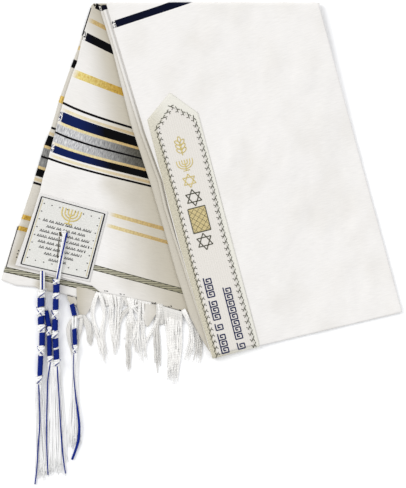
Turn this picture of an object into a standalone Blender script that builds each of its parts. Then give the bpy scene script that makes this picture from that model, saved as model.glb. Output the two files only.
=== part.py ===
"""A tallit, the fringed prayer shawl, folded up and laid flat on a table.

The shawl is one woven rectangle, 1800 by 550 mm. It is folded end to end, then lengthwise, and then
bent over once more along one straight crease, so that two arms fan out below it: the back arm, whose
free end shows the hem, fringe and corner tassels, and the front arm on top of it, which ends in the
end-to-end fold and carries the neck band along its selvage.

Each arm is a stack of hidden layers, as one rounded solid, under the one layer that shows.
+X is to the right, +Y runs towards the crease, +Z is up and the table is at z = 0.
Sizes are in millimetres and become metres where a mesh is made.
"""

import math

import bmesh
import bpy
from mathutils import Vector

MM = 0.001

# The cloth
WALL = 1.2  # one layer that shows
GAP = 0.3  # between pieces that touch
PLY = 1.3  # one hidden layer in a folded stack
HIDDEN_PLIES = 3
STACK = PLY * HIDDEN_PLIES
PLY_GROOVE = 0.6  # depth of the groove between two plies at the stack's edge
STACK_INSET = 1.0  # how far the stack's top and bottom faces stand in from its edge

# The crease that both arms hang from
CREASE_Y = 333.0
CREASE_NOSE = 5.0  # depth of the rounded nose at the crease
CREASE_RIGHT_X = 162.0

# Where a layer lies on the back arm
BACK_SHEET_Z = STACK + GAP
BACK_TOP_Z = BACK_SHEET_Z + WALL

# The front arm steps down from the back arm to the table
FRONT_BASE_Z = BACK_TOP_Z + 0.5
STEP_FLAT = 20.0  # how far it stays level past the back arm's edge
STEP_RUN = 36.0  # how long it takes to reach the table

# The front arm's grid
FRONT_LENGTH = 506.0
FRONT_ROWS = 24
FRONT_PLAIN_COLUMNS = 8
FRONT_EDGE = 3.0  # rounded edge at the right fold and at the end fold
SKIRT_BULGE = 1.5
CREASE_BULGE = 3.5
SKIRT_ANGLES = (30, 60, 90, 120, 150)
SKIRT_FOOT = WALL + GAP  # height of the skirt's inner face above what it stands on

# The selvages of the hidden layers, which show as a strip beside the neck band
STRIP_AT_CREASE = 4.0
STRIP_WIDTH = 15.0
STRIP_DROP = 0.9

# The neck band
BAND_WIDTH_TOP = 61.0
BAND_WIDTH_END = 67.0
BAND_WALL = 0.9
BAND_LIFT = WALL + 0.35
BAND_INSET_TOP = 22.0
BAND_INSET_END = 1.0
BAND_FIRST_ROW = 9
# Its pointed end, from the left shoulder: share of the width, and distance towards the crease
BAND_SHOULDER_Y = 178.0
BAND_END = (
    dict(across=0.0, along=0.0),
    dict(across=0.36, along=14.0),
    dict(across=0.53, along=20.0),
    dict(across=0.70, along=7.0),
    dict(across=1.0, along=-17.0),
)
BAND_SKIRT_STEPS = 3

# The square patch at the corner of the back arm
PATCH_SIDE = 99.0
PATCH_ACROSS = 96.0
PATCH_WALL = 0.9

# Fringe and tassels
STRIP_DEPTH = 2.6
FRINGE_STRANDS_UPPER = 38
FRINGE_STRANDS_LOWER = 32
FRINGE_THICK = 1.0
FRINGE_HOLD = 14.0  # how far a strand runs level past the hem
FRINGE_FALL = 40.0  # how far it then takes to come down
STRAND_SEGMENTS = 5
TASSEL_SEGMENTS = 6
TASSEL_COLUMNS, TASSEL_LAYERS = 4, 2
STRAND_HALF = 0.85
FLOOR_CLEAR = 0.35

WHITE = (0.90, 0.89, 0.86)
CREAM = (0.86, 0.83, 0.72)
NAVY = (0.02, 0.03, 0.20)


def smooth(t):
    """0 below 0, 1 above 1, and an even S between them."""
    t = min(1.0, max(0.0, t))
    return t * t * (3 - 2 * t)


def mix(a, b, t):
    return a + (b - a) * t


class Arm:
    """One arm of the folded cloth: rows run across it, t = 0 at the crease and t = 1 at its free end."""

    def __init__(self, crease_y, left_x, right_x, length, tilt, end_width, end_slope):
        tilt, end_slope = math.radians(tilt), math.radians(end_slope)
        self.crease_left = Vector((left_x, crease_y))
        self.crease_right = Vector((right_x, crease_y))
        self.end_left = Vector((left_x, crease_y)) + length * Vector((math.sin(tilt), -math.cos(tilt)))
        self.end_right = self.end_left + end_width * Vector((math.cos(end_slope), math.sin(end_slope)))

    def left(self, t):
        return self.crease_left.lerp(self.end_left, t)

    def right(self, t):
        return self.crease_right.lerp(self.end_right, t)

    def at(self, s, t):
        return self.left(t).lerp(self.right(t), s)

    def end_across(self):
        return (self.end_right - self.end_left).normalized()

    def end_outward(self):
        across = self.end_across()
        return Vector((across.y, -across.x))

    def outside(self, point):
        """How far a point lies outside this arm's outline, negative inside it."""
        corners = [self.crease_left, self.end_left, self.end_right, self.crease_right]
        distances = []
        for a, b in zip(corners, corners[1:] + corners[:1]):
            edge = (b - a).normalized()
            distances.append((point - a).dot(Vector((edge.y, -edge.x))))
        return max(distances)


LAYERS_Y = CREASE_Y - CREASE_NOSE  # where the stacked layers end, inside the rounded nose
BACK_INNER = Arm(LAYERS_Y, -152.5, 160.0, 400.0, -18.1, 256.0, -7.5)
BACK_OUTER = Arm(LAYERS_Y, -150.5, 161.0, 372.0, -16.4, 260.0, -16.1)
FRONT = Arm(LAYERS_Y, -131.0, CREASE_RIGHT_X, FRONT_LENGTH, 16.6, 271.5, 13.3)

# Soft ridges in the layers that show: both ends of each, its height and its half width
FRONT_RIDGES = (
    dict(start=(60, 250), end=(95, -20), height=1.6, half=34),
    dict(start=(118, 300), end=(150, 60), height=1.4, half=30),
    dict(start=(150, 20), end=(185, -90), height=1.3, half=32),
    dict(start=(215, 60), end=(238, -60), height=1.2, half=28),
)
BACK_RIDGES = (
    dict(start=(-150, 240), end=(-188, 100), height=1.7, half=26),
    dict(start=(-98, 110), end=(-104, -40), height=1.3, half=22),
    dict(start=(-62, 60), end=(-75, -55), height=1.1, half=22),
)


def ridge_height(x, y, ridges):
    total = 0.0
    for ridge in ridges:
        start, end = Vector(ridge["start"]), Vector(ridge["end"])
        run = end - start
        point = Vector((x, y))
        along = min(1.0, max(0.0, (point - start).dot(run) / run.length_squared))
        away = (point - (start + run * along)).length
        total += ridge["height"] * smooth(1 - away / ridge["half"])
    return total


def underside(point):
    """Height of the front arm's lowest face: over the back arm, or down on the table."""
    away = min(BACK_INNER.outside(point), BACK_OUTER.outside(point))
    return FRONT_BASE_Z * (1 - smooth((away - STEP_FLAT) / STEP_RUN))


def strip_width(t):
    """How far the hidden selvages stand out past the layer that shows, down the front arm."""
    return mix(STRIP_AT_CREASE, STRIP_WIDTH, smooth(t / 0.3)) * (1 - smooth((t - 0.84) / 0.13))


def band_inset(t):
    return mix(BAND_INSET_TOP, BAND_INSET_END, t)


def band_width(t):
    return mix(BAND_WIDTH_TOP, BAND_WIDTH_END, t)


def front_row(t):
    """Points of one row of the front arm, from the hidden selvages to the right fold."""
    left, right = FRONT.left(t), FRONT.right(t)
    across = (right - left).normalized()
    width = (right - left).length - FRONT_EDGE
    inset = band_inset(t)
    band_right = inset + band_width(t)
    places = [-strip_width(t) - 0.5, 0.0]
    places += [inset + band_width(t) * k / 4 for k in range(5)]
    places += [mix(band_right, width, k / FRONT_PLAIN_COLUMNS) for k in range(1, FRONT_PLAIN_COLUMNS + 1)]
    return [left + across * place for place in places]


FRONT_LAST_T = 1 - FRONT_EDGE / FRONT_LENGTH
FRONT_GRID = [front_row(FRONT_LAST_T * row / FRONT_ROWS) for row in range(FRONT_ROWS + 1)]
SHEET_COLUMN = 1  # the visible layer starts at this column
BAND_COLUMNS = range(2, 7)


def material(name, colour, roughness):
    made = bpy.data.materials.new(name)
    made.use_nodes = True
    shader = made.node_tree.nodes["Principled BSDF"]
    shader.inputs["Base Color"].default_value = (*colour, 1.0)
    shader.inputs["Roughness"].default_value = roughness
    shader.inputs["Metallic"].default_value = 0.0
    return made


def cut_into_triangles(mesh):
    """Cuts every face alike, so that layers made from the same points stay apart by the same gap."""
    cut = bmesh.new()
    cut.from_mesh(mesh)
    bmesh.ops.triangulate(cut, faces=cut.faces[:], quad_method="FIXED")
    cut.to_mesh(mesh)
    cut.free()


def add_object(name, points, faces, finish, parent, anchor):
    """A mesh object whose own origin is at the anchor, from points in millimetres."""
    anchor = Vector(anchor)
    mesh = bpy.data.meshes.new(name)
    mesh.from_pydata([(Vector(p) - anchor) * MM for p in points], [], faces)
    cut_into_triangles(mesh)
    mesh.materials.append(finish)
    mesh.shade_smooth()
    mesh.set_sharp_from_angle(angle=math.radians(40))
    made = bpy.data.objects.new(name, mesh)
    made.location = anchor * MM
    made.parent = parent
    bpy.context.scene.collection.objects.link(made)
    return made


def thicken(sheet, wall):
    """Turns a sheet of cloth into a wall on its upper side."""
    solidify = sheet.modifiers.new("wall", "SOLIDIFY")
    solidify.thickness = wall * MM
    solidify.offset = 1.0
    return sheet


def outward_at(loop, index):
    """Unit direction out of a closed loop of plan points that runs anticlockwise."""
    before, here, after = loop[index - 1], loop[index], loop[(index + 1) % len(loop)]
    total = Vector((0, 0))
    for a, b in ((before, here), (here, after)):
        edge = (b - a).normalized()
        total += Vector((edge.y, -edge.x))
    return total.normalized()


def ply_profile():
    """Share of the height and offset from the outline of each ring down a stack's edge."""
    rings = [(0.0, -STACK_INSET)]
    for ply in range(HIDDEN_PLIES):
        rings.append(((ply + 0.5) / HIDDEN_PLIES, 0.0))
        if ply < HIDDEN_PLIES - 1:
            rings.append(((ply + 1.0) / HIDDEN_PLIES, -PLY_GROOVE))
    rings.append((1.0, -STACK_INSET))
    return rings


def stack_edge(loop, low, high):
    """Rings of points round a stack of plies, one list for each ring of the profile."""
    rings = []
    for share, offset in ply_profile():
        ring = []
        for index, plan in enumerate(loop):
            place = plan + outward_at(loop, index) * offset
            ring.append((place.x, place.y, mix(low[index], high[index], share)))
        rings.append(ring)
    return rings


def edge_faces(first, count, rings):
    faces = []
    for ring in range(rings - 1):
        for k in range(count):
            a, b = first + ring * count + k, first + ring * count + (k + 1) % count
            faces.append((a, b, b + count, a + count))
    return faces


def make_back_inner_layers(finish, parent):
    """The hidden layers of the back arm: flat above and below, layered round its edge."""
    steps = 8
    loop = [BACK_INNER.at(0, k / steps) for k in range(steps)]
    loop += [BACK_INNER.at(k / steps, 1) for k in range(steps)]
    loop += [BACK_INNER.at(1, 1 - k / steps) for k in range(steps)]
    loop += [BACK_INNER.at(1 - k / steps, 0) for k in range(steps)]
    count = len(loop)
    rings = stack_edge(loop, [0.0] * count, [STACK] * count)
    points = [p for ring in rings for p in ring]
    faces = edge_faces(0, count, len(rings))
    faces.append(tuple(reversed(range(count))))
    faces.append(tuple(range((len(rings) - 1) * count, len(rings) * count)))
    return add_object("back_inner_layers", points, faces, finish, parent, (0, 0, 0))


def make_back_outer_layer(finish, parent):
    """The layer that shows on the back arm, with the soft ridges of its drape."""
    rows, columns = 14, 10
    front_edge = FRONT.left
    points = []
    for j in range(rows + 1):
        for i in range(columns + 1):
            place = BACK_OUTER.at(i / columns, j / rows)
            share = min(1.0, max(0.0, (LAYERS_Y - place.y) / (LAYERS_Y - FRONT.end_left.y)))
            clear = smooth((front_edge(share).x - STRIP_WIDTH - place.x - 22) / 30)
            rise = ridge_height(place.x, place.y, BACK_RIDGES) * clear
            points.append((place.x, place.y, BACK_SHEET_Z + rise))
    faces = grid_faces(rows + 1, columns + 1)
    return thicken(add_object("back_outer_layer", points, faces, finish, parent, (0, 0, 0)), WALL)


def front_heights():
    """Bottom and top of the hidden stack at every point of the front grid."""
    low = [[underside(p) for p in row] for row in FRONT_GRID]
    high = [[z + STACK for z in row] for row in low]
    for row in high:
        row[0] -= STRIP_DROP
    return low, high


def make_front_inner_layers(finish, parent):
    """The hidden layers of the front arm, which step down from the back arm to the table."""
    low, high = front_heights()
    rows, columns = len(FRONT_GRID), len(FRONT_GRID[0])
    walk = [(j, 0) for j in range(rows - 1)]
    walk += [(rows - 1, i) for i in range(columns - 1)]
    walk += [(j, columns - 1) for j in range(rows - 1, 0, -1)]
    walk += [(0, i) for i in range(columns - 1, 0, -1)]
    loop = [FRONT_GRID[j][i] for j, i in walk]
    rings = stack_edge(loop, [low[j][i] for j, i in walk], [high[j][i] for j, i in walk])
    points = [p for ring in rings for p in ring]
    faces = edge_faces(0, len(walk), len(rings))
    for heights, ring, facing_up in ((low, 0, False), (high, len(rings) - 1, True)):
        index = {place: ring * len(walk) + k for k, place in enumerate(walk)}
        for j in range(1, rows - 1):
            for i in range(1, columns - 1):
                index[j, i] = len(points)
                points.append((*FRONT_GRID[j][i], heights[j][i]))
        for j in range(rows - 1):
            for i in range(columns - 1):
                face = (index[j, i], index[j + 1, i], index[j + 1, i + 1], index[j, i + 1])
                faces.append(face if facing_up else face[::-1])
    return add_object("front_inner_layers", points, faces, finish, parent, (0, 0, 0))


def fold_walk():
    """Places in the front grid along its three folds: the crease, the right fold and the end fold."""
    last_row, last_column = len(FRONT_GRID) - 1, len(FRONT_GRID[0]) - 1
    walk = [(0, i) for i in range(SHEET_COLUMN, last_column)]
    walk += [(j, last_column) for j in range(last_row)]
    walk += [(last_row, i) for i in range(last_column, SHEET_COLUMN - 1, -1)]
    return walk


def fold_outward(walk, k):
    """Direction out of the cloth at one place of the walk round the folds."""
    total = Vector((0, 0))
    for a, b in ((k - 1, k), (k, k + 1)):
        if 0 <= a and b < len(walk):
            edge = FRONT_GRID[walk[b][0]][walk[b][1]] - FRONT_GRID[walk[a][0]][walk[a][1]]
            total += Vector((-edge.y, edge.x)).normalized()
    return total.normalized()


def fold_ring(angle, lift):
    """Points of one ring of the rounded folds, by place: the cloth turns down and under as the angle grows."""
    walk = fold_walk()
    ring = {}
    for k, (j, i) in enumerate(walk):
        plan = FRONT_GRID[j][i]
        at_crease = j == 0
        base = underside(plan)
        top = base + STACK + GAP
        foot = SKIRT_FOOT if at_crease else base + SKIRT_FOOT
        bulge = CREASE_BULGE if at_crease else SKIRT_BULGE
        out = fold_outward(walk, k) * (GAP + (bulge + lift) * math.sin(angle))
        z = (top + foot) / 2 + ((top - foot) / 2 + lift) * math.cos(angle)
        ring[j, i] = (plan.x + out.x, plan.y + out.y, z)
    return ring


def front_sheet_rows(columns, first_row, lift, ridges=()):
    """Rows of points over the front stack, lifted off it."""
    rows = []
    for j in range(first_row, FRONT_ROWS + 1):
        row = []
        for i in columns:
            plan = FRONT_GRID[j][i]
            top = underside(plan) + STACK + GAP
            row.append((plan.x, plan.y, top + lift + ridge_height(plan.x, plan.y, ridges)))
        rows.append(row)
    return rows


def grid_faces(rows, columns):
    faces = []
    for j in range(rows - 1):
        for i in range(columns - 1):
            a = j * columns + i
            faces.append((a, a + columns, a + columns + 1, a + 1))
    return faces


def make_front_outer_layer(finish, parent):
    """The layer that shows on the front arm. It turns down round the crease, the right fold and the end fold."""
    columns = range(SHEET_COLUMN, len(FRONT_GRID[0]))
    rows = front_sheet_rows(columns, 0, 0.0, FRONT_RIDGES)
    points = [p for row in rows for p in row]
    faces = grid_faces(len(rows), len(columns))
    walk = fold_walk()
    previous = [j * len(columns) + i - SHEET_COLUMN for j, i in walk]
    for angle in SKIRT_ANGLES:
        ring = fold_ring(math.radians(angle), 0.0)
        first = len(points)
        points += [ring[place] for place in walk]
        current = list(range(first, len(points)))
        for k in range(len(walk) - 1):
            faces.append((previous[k], previous[k + 1], current[k + 1], current[k]))
        previous = current
    return thicken(add_object("front_outer_layer", points, faces, finish, parent, (0, 0, 0)), WALL)


def make_neck_band(finish, parent):
    """The band along the front arm's selvage: pointed at one end, and turned under at the end fold."""
    rows = front_sheet_rows(BAND_COLUMNS, BAND_FIRST_ROW, BAND_LIFT)
    for angle in SKIRT_ANGLES[:BAND_SKIRT_STEPS]:
        ring = fold_ring(math.radians(angle), BAND_LIFT)
        rows.append([ring[FRONT_ROWS, i] for i in BAND_COLUMNS])
    flat_z = FRONT_BASE_Z + STACK + GAP + BAND_LIFT
    along = (FRONT.crease_left - FRONT.end_left).normalized()
    across = Vector((along.y, -along.x))
    t = (LAYERS_Y - BAND_SHOULDER_Y) / (LAYERS_Y - FRONT.end_left.y)
    shoulder = FRONT.left(t) + across * band_inset(t)
    end = [shoulder + across * band_width(t) * p["across"] + along * p["along"] for p in BAND_END]
    rows = [[(p.x, p.y, flat_z) for p in end]] + rows
    points = [p for row in rows for p in row]
    faces = grid_faces(len(rows), len(end))
    return thicken(add_object("neck_band", points, faces, finish, parent, (0, 0, 0)), BAND_WALL)


def make_corner_patch(finish, parent):
    """The square patch that reinforces the corner where a tassel is tied."""
    corner = BACK_OUTER.end_left
    across = BACK_OUTER.end_across()
    along = (BACK_OUTER.crease_left - BACK_OUTER.end_left).normalized()
    low = BACK_TOP_Z + GAP
    plan = [
        corner,
        corner + across * PATCH_ACROSS,
        corner + across * PATCH_ACROSS + along * PATCH_SIDE,
        corner + along * PATCH_SIDE,
    ]
    points = [(p.x, p.y, z) for z in (low, low + PATCH_WALL) for p in plan]
    faces = [(3, 2, 1, 0), (4, 5, 6, 7)]
    faces += [(k, (k + 1) % 4, (k + 1) % 4 + 4, k + 4) for k in range(4)]
    return add_object("corner_patch", points, faces, finish, parent, (0, 0, 0))


def grow_strand(points, faces, root, path, half_width, half_thick):
    """Carries a strand on from the four points of its root face, along a path, and closes its tip."""
    previous = root
    count = len(path)
    for k, centre in enumerate(path):
        narrow = 1.0 - 0.35 * smooth((k + 1 - 0.6 * count) / (0.4 * count))
        dx, dz = half_width * narrow, half_thick * narrow
        ring = []
        for sx, sz in ((-1, -1), (1, -1), (1, 1), (-1, 1)):
            ring.append(len(points))
            points.append((centre[0] + sx * dx, centre[1], centre[2] + sz * dz))
        for a in range(4):
            b = (a + 1) % 4
            faces.append((previous[a], previous[b], ring[b], ring[a]))
        previous = ring
    faces.append(tuple(previous))


def inset_cell(points, faces, cell, share):
    """Frames a smaller face inside a cell and returns it, so that strands start apart from each other."""
    centre = sum((Vector(points[k]) for k in cell), Vector()) / 4
    inner = []
    for k in cell:
        inner.append(len(points))
        points.append(tuple(Vector(points[k]).lerp(centre, share)))
    for a in range(4):
        b = (a + 1) % 4
        faces.append((cell[a], cell[b], inner[b], inner[a]))
    return inner


def make_fringe(name, arm, start, end, base_z, strands, length, settle_z, finish, parent):
    """Strands grown from a narrow strip along the hem, from share start to share end of its width."""
    across, outward = arm.end_across(), arm.end_outward()
    first = arm.at(start, 1) + outward * GAP
    width = (arm.at(end, 1) - arm.at(start, 1)).length
    low, high = base_z, base_z + FRINGE_THICK
    points, faces = [], []
    lower, upper = [], []
    for k in range(strands + 1):
        place = first + across * width * k / strands + outward * STRIP_DEPTH
        lower.append(len(points))
        points.append((place.x, place.y, low))
        upper.append(len(points))
        points.append((place.x, place.y, high))
    back = []
    for place in (first, first + across * width):
        for z in (low, high):
            back.append(len(points))
            points.append((place.x, place.y, z))
    faces.append((*upper, back[3], back[1]))
    faces.append((*reversed(lower), back[0], back[2]))
    faces.append((back[0], back[1], back[3], back[2]))
    faces.append((lower[0], upper[0], back[1], back[0]))
    faces.append((back[2], back[3], upper[-1], lower[-1]))
    for k in range(strands):
        root = inset_cell(points, faces, (lower[k], lower[k + 1], upper[k + 1], upper[k]), 0.22)
        start_at = first + across * width * (k + 0.5) / strands + outward * STRIP_DEPTH
        reach = length * (1 + 0.14 * math.sin(2.3 * k) + 0.06 * math.sin(5.1 * k + 1))
        sway = 0.5 * math.sin(0.9 * k)
        path = []
        for step in range(1, STRAND_SEGMENTS + 1):
            share = step / STRAND_SEGMENTS
            x = start_at.x + sway * math.sin(math.pi * share * 1.5)
            y = start_at.y - reach * share
            z = mix(base_z + FRINGE_THICK / 2, settle_z, smooth((reach * share - FRINGE_HOLD) / FRINGE_FALL))
            path.append((x, y, z))
        half_width = 0.28 * width * across.x / strands
        grow_strand(points, faces, root, path, half_width, FRINGE_THICK / 2)
    return add_object(name, points, faces, finish, parent, (first.x, first.y, low))


# Each tassel's head, from its root to its last knot: place, height of its middle, half width and half height
TASSEL_HEADS = {
    "tassel_over_patch": dict(
        tip_y=-322.0,
        spread=13.0,
        rows=(
            # x, y, z, half width, half height
            (-199.6, -46.6, 9.6, 3.4, 3.1),
            (-199.6, -49.0, 9.9, 4.9, 4.4),
            (-199.4, -54.0, 9.8, 4.1, 4.0),
            (-199.4, -63.0, 9.5, 4.1, 4.0),
            (-199.4, -67.0, 9.2, 5.0, 4.5),
            (-199.2, -72.0, 8.4, 4.2, 4.1),
            (-199.0, -88.0, 6.0, 4.2, 4.1),
            (-198.8, -96.0, 5.4, 5.2, 4.7),
            (-198.6, -104.0, 5.1, 4.2, 4.1),
            (-198.4, -122.0, 4.9, 4.2, 4.1),
            (-197.6, -129.0, 5.3, 4.9, 4.6),
            (-197.0, -136.0, 4.8, 4.0, 4.0),
            (-196.6, -160.0, 4.8, 4.0, 4.0),
            (-196.8, -166.0, 5.1, 4.6, 4.3),
            (-197.0, -171.0, 4.6, 4.0, 3.6),
        ),
    ),
    "tassel_left": dict(
        tip_y=-333.0,
        spread=12.0,
        rows=(
            (-218.6, -42.5, 6.9, 2.3, 2.0),
            (-217.6, -54.0, 7.0, 2.5, 2.2),
            (-217.8, -63.0, 8.6, 2.8, 2.5),
            (-218.8, -68.0, 9.2, 4.9, 4.4),
            (-219.4, -74.0, 8.6, 4.1, 4.0),
            (-219.4, -85.0, 6.8, 4.1, 4.0),
            (-219.2, -93.0, 5.6, 5.0, 4.6),
            (-219.2, -101.0, 4.9, 4.0, 3.9),
            (-217.6, -112.0, 4.7, 3.9, 3.9),
            (-217.2, -118.0, 5.0, 4.5, 4.3),
            (-217.6, -124.0, 4.5, 3.7, 3.7),
            (-218.2, -141.0, 4.5, 3.7, 3.7),
            (-219.8, -147.0, 5.0, 4.6, 4.3),
            (-221.2, -154.0, 4.5, 3.8, 3.7),
            (-222.6, -181.0, 4.5, 3.8, 3.7),
            (-223.6, -187.0, 4.8, 4.3, 4.0),
            (-223.8, -192.0, 4.6, 3.8, 3.6),
        ),
    ),
    "tassel_middle": dict(
        tip_y=-318.0,
        spread=10.0,
        rows=(
            (-210.4, -61.5, 2.6, 1.9, 1.7),
            (-209.4, -84.0, 3.4, 2.2, 2.0),
            (-209.4, -89.0, 4.0, 3.2, 3.0),
            (-209.2, -104.0, 4.2, 3.3, 3.3),
            (-208.0, -113.0, 4.2, 3.3, 3.3),
            (-207.4, -119.0, 4.5, 3.9, 3.7),
            (-207.4, -125.0, 4.2, 3.2, 3.2),
            (-208.0, -151.0, 4.2, 3.2, 3.2),
            (-208.4, -157.0, 4.6, 3.8, 3.6),
            (-208.8, -162.0, 4.4, 3.6, 3.4),
        ),
    ),
    "tassel_right": dict(
        tip_y=-310.0,
        spread=9.0,
        rows=(
            (-179.6, -65.6, 2.6, 1.9, 1.7),
            (-178.8, -84.0, 3.0, 1.9, 1.8),
            (-178.2, -90.0, 3.6, 2.8, 2.6),
            (-175.0, -104.0, 4.0, 2.9, 2.9),
            (-173.4, -111.0, 4.4, 3.6, 3.5),
            (-175.6, -121.0, 4.0, 2.9, 2.9),
            (-174.6, -137.0, 4.0, 2.9, 2.9),
            (-173.4, -145.0, 4.4, 3.7, 3.4),
            (-173.6, -150.0, 4.4, 3.6, 3.4),
        ),
    ),
}


# The cords of one tassel, where they come out of the patch and run down over it
CORDS_OVER_PATCH = (
    dict(x=-185.5, y=16.0, z=8.8, half=1.8),
    dict(x=-187.5, y=4.0, z=9.0, half=2.2),
    dict(x=-193.5, y=-24.0, z=9.0, half=2.2),
    dict(x=-198.5, y=-40.0, z=9.2, half=2.3),
    dict(x=-199.6, y=-46.3, z=9.4, half=2.6),
)
CORD_SIDES = 8


def make_cords_over_patch(finish, parent):
    """The cords that join the tassel over the patch to its hole, as one tapered bundle."""
    points, faces = [], []
    for place in CORDS_OVER_PATCH:
        for k in range(CORD_SIDES):
            angle = 2 * math.pi * k / CORD_SIDES
            x, z = place["half"] * math.cos(angle), place["half"] * math.sin(angle)
            points.append((place["x"] + x, place["y"], place["z"] + z))
    last = len(points) - CORD_SIDES
    faces.append(tuple(reversed(range(CORD_SIDES))))
    faces.append(tuple(range(last, len(points))))
    faces += edge_faces(0, CORD_SIDES, len(CORDS_OVER_PATCH))
    root = CORDS_OVER_PATCH[0]
    return add_object("tassel_cords", points, faces, finish, parent, (root["x"], root["y"], root["z"]))


def tassel_ring_places():
    """Walk round the edge of the grid of strand cells, as places in it, anticlockwise seen from the tip."""
    walk = [(i, 0) for i in range(TASSEL_COLUMNS)]
    walk += [(TASSEL_COLUMNS, j) for j in range(TASSEL_LAYERS)]
    walk += [(i, TASSEL_LAYERS) for i in range(TASSEL_COLUMNS, 0, -1)]
    walk += [(0, j) for j in range(TASSEL_LAYERS, 0, -1)]
    return walk


def make_tassel(name, rows, tip_y, spread, finish, parent):
    """A wound and knotted head, and the strands that hang free from its end."""
    walk = tassel_ring_places()
    count = len(walk)
    points, faces = [], []
    for x, y, z, half_width, half_height in rows:
        for k in range(count):
            column, layer = walk[k]
            angle = math.atan2(2 * layer / TASSEL_LAYERS - 1, 2 * column / TASSEL_COLUMNS - 1)
            points.append((x + half_width * math.cos(angle), y, z + half_height * math.sin(angle)))
    faces.append(tuple(reversed(range(count))))
    for ring in range(len(rows) - 1):
        for k in range(count):
            a, b = ring * count + k, ring * count + (k + 1) % count
            faces.append((a, b, b + count, a + count))
    x, y, z, half_width, half_height = rows[-1]
    last = (len(rows) - 1) * count
    index = {place: last + k for k, place in enumerate(walk)}
    for column in range(1, TASSEL_COLUMNS):
        for layer in range(1, TASSEL_LAYERS):
            index[column, layer] = len(points)
            points.append((x + half_width * (2 * column / TASSEL_COLUMNS - 1) * 0.9, y, z))
    for column in range(TASSEL_COLUMNS):
        for layer in range(TASSEL_LAYERS):
            cell = (
                index[column, layer],
                index[column + 1, layer],
                index[column + 1, layer + 1],
                index[column, layer + 1],
            )
            root = inset_cell(points, faces, cell, 0.25)
            place = (column + 0.5) / TASSEL_COLUMNS * 2 - 1
            number = column * TASSEL_LAYERS + layer
            length = (y - tip_y) * (1 - 0.1 * abs(math.sin(1.7 * number)))
            rest_z = FLOOR_CLEAR + STRAND_HALF + layer * (2 * STRAND_HALF + 0.4)
            path = []
            for step in range(1, TASSEL_SEGMENTS + 1):
                share = step / TASSEL_SEGMENTS
                reach = mix(half_width * 0.8, spread / 2, smooth(share * 1.6))
                drift = 0.9 * math.sin(3.1 * share + 0.4 * y)
                path.append(
                    (x + place * reach + drift, y - length * share, mix(z, rest_z, smooth(share * 3.2)))
                )
            grow_strand(points, faces, root, path, STRAND_HALF, STRAND_HALF)
    return add_object(name, points, faces, finish, parent, rows[0][:3])


def main():
    for old in list(bpy.data.objects):
        bpy.data.objects.remove(old)
    shawl = bpy.data.objects.new("folded_shawl", None)
    bpy.context.scene.collection.objects.link(shawl)

    white_cloth = material("white_cloth", WHITE, 0.85)
    band_cloth = material("band_cloth", CREAM, 0.6)
    patch_cloth = material("patch_cloth", CREAM, 0.6)
    white_thread = material("white_thread", WHITE, 0.8)
    wound_thread = material("wound_thread", NAVY, 0.6)

    make_back_inner_layers(white_cloth, shawl)
    make_back_outer_layer(white_cloth, shawl)
    make_front_inner_layers(white_cloth, shawl)
    make_front_outer_layer(white_cloth, shawl)
    make_neck_band(band_cloth, shawl)
    make_corner_patch(patch_cloth, shawl)
    make_fringe(
        "fringe_upper", BACK_OUTER, 0.43, 0.985, BACK_SHEET_Z, FRINGE_STRANDS_UPPER, 96.0, 2.6, white_thread, shawl
    )
    make_fringe(
        "fringe_lower", BACK_INNER, 0.44, 0.99, 1.2, FRINGE_STRANDS_LOWER, 84.0, 0.95, white_thread, shawl
    )
    make_cords_over_patch(white_thread, shawl)
    for name, tassel in TASSEL_HEADS.items():
        make_tassel(name, tassel["rows"], tassel["tip_y"], tassel["spread"], wound_thread, shawl)


main()
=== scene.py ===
"""The looks of a folded tallit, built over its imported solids.

Plan coordinates are millimetres in the frame's own axes: +X right, +Y towards the crease, +Z up.
"""

import math

import bpy
import numpy as np
from bpy.props import FloatProperty, FloatVectorProperty, PointerProperty
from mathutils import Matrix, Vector, noise


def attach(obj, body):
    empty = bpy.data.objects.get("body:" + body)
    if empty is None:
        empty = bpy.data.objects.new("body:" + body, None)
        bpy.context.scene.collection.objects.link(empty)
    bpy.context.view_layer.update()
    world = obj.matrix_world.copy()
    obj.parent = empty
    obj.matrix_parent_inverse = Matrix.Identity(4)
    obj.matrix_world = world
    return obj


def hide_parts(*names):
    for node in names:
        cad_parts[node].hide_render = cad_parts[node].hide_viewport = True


bl_info = {
    "name": "Folded tallit",
    "version": (1, 0, 0),
    "blender": (4, 5, 0),
    "location": "View3D > Sidebar > Tallit",
    "description": "Builds a folded prayer shawl with its stripes, band, patch, fringe and tassels",
    "category": "Add Mesh",
}

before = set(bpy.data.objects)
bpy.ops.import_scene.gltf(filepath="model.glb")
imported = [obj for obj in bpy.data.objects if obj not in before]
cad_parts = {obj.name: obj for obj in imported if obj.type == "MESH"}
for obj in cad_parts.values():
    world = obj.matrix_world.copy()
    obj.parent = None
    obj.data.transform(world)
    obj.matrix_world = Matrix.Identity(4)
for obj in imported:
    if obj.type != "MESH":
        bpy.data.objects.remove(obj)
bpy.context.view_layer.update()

MM = 0.001

# The photograph's frame
PHOTO_HEIGHT = 488
MM_PER_PIXEL = 1.375
VIEW_CENTRE = (1.4, 0.0)
VIEW_LENS = 120.0
SENSOR = 36.0
CAMERA_ABOVE = 6.0

# The stage. The floor's half width is in metres
FLOOR_HALF = 6.0
FLOOR_COLOUR = (0.99, 0.99, 0.99)
SKY_COLOUR, SKY_POWER = (0.97, 0.98, 1.0), 0.79
LIGHTS = (
    dict(name="key", comes_from=(-1.0, 0.55, 0.95), softness=34, power=1.25, colour=(1.0, 0.99, 0.97)),
    dict(name="fill", comes_from=(0.9, 0.8, 1.6), softness=60, power=0.5, colour=(0.97, 0.98, 1.0)),
)

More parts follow.
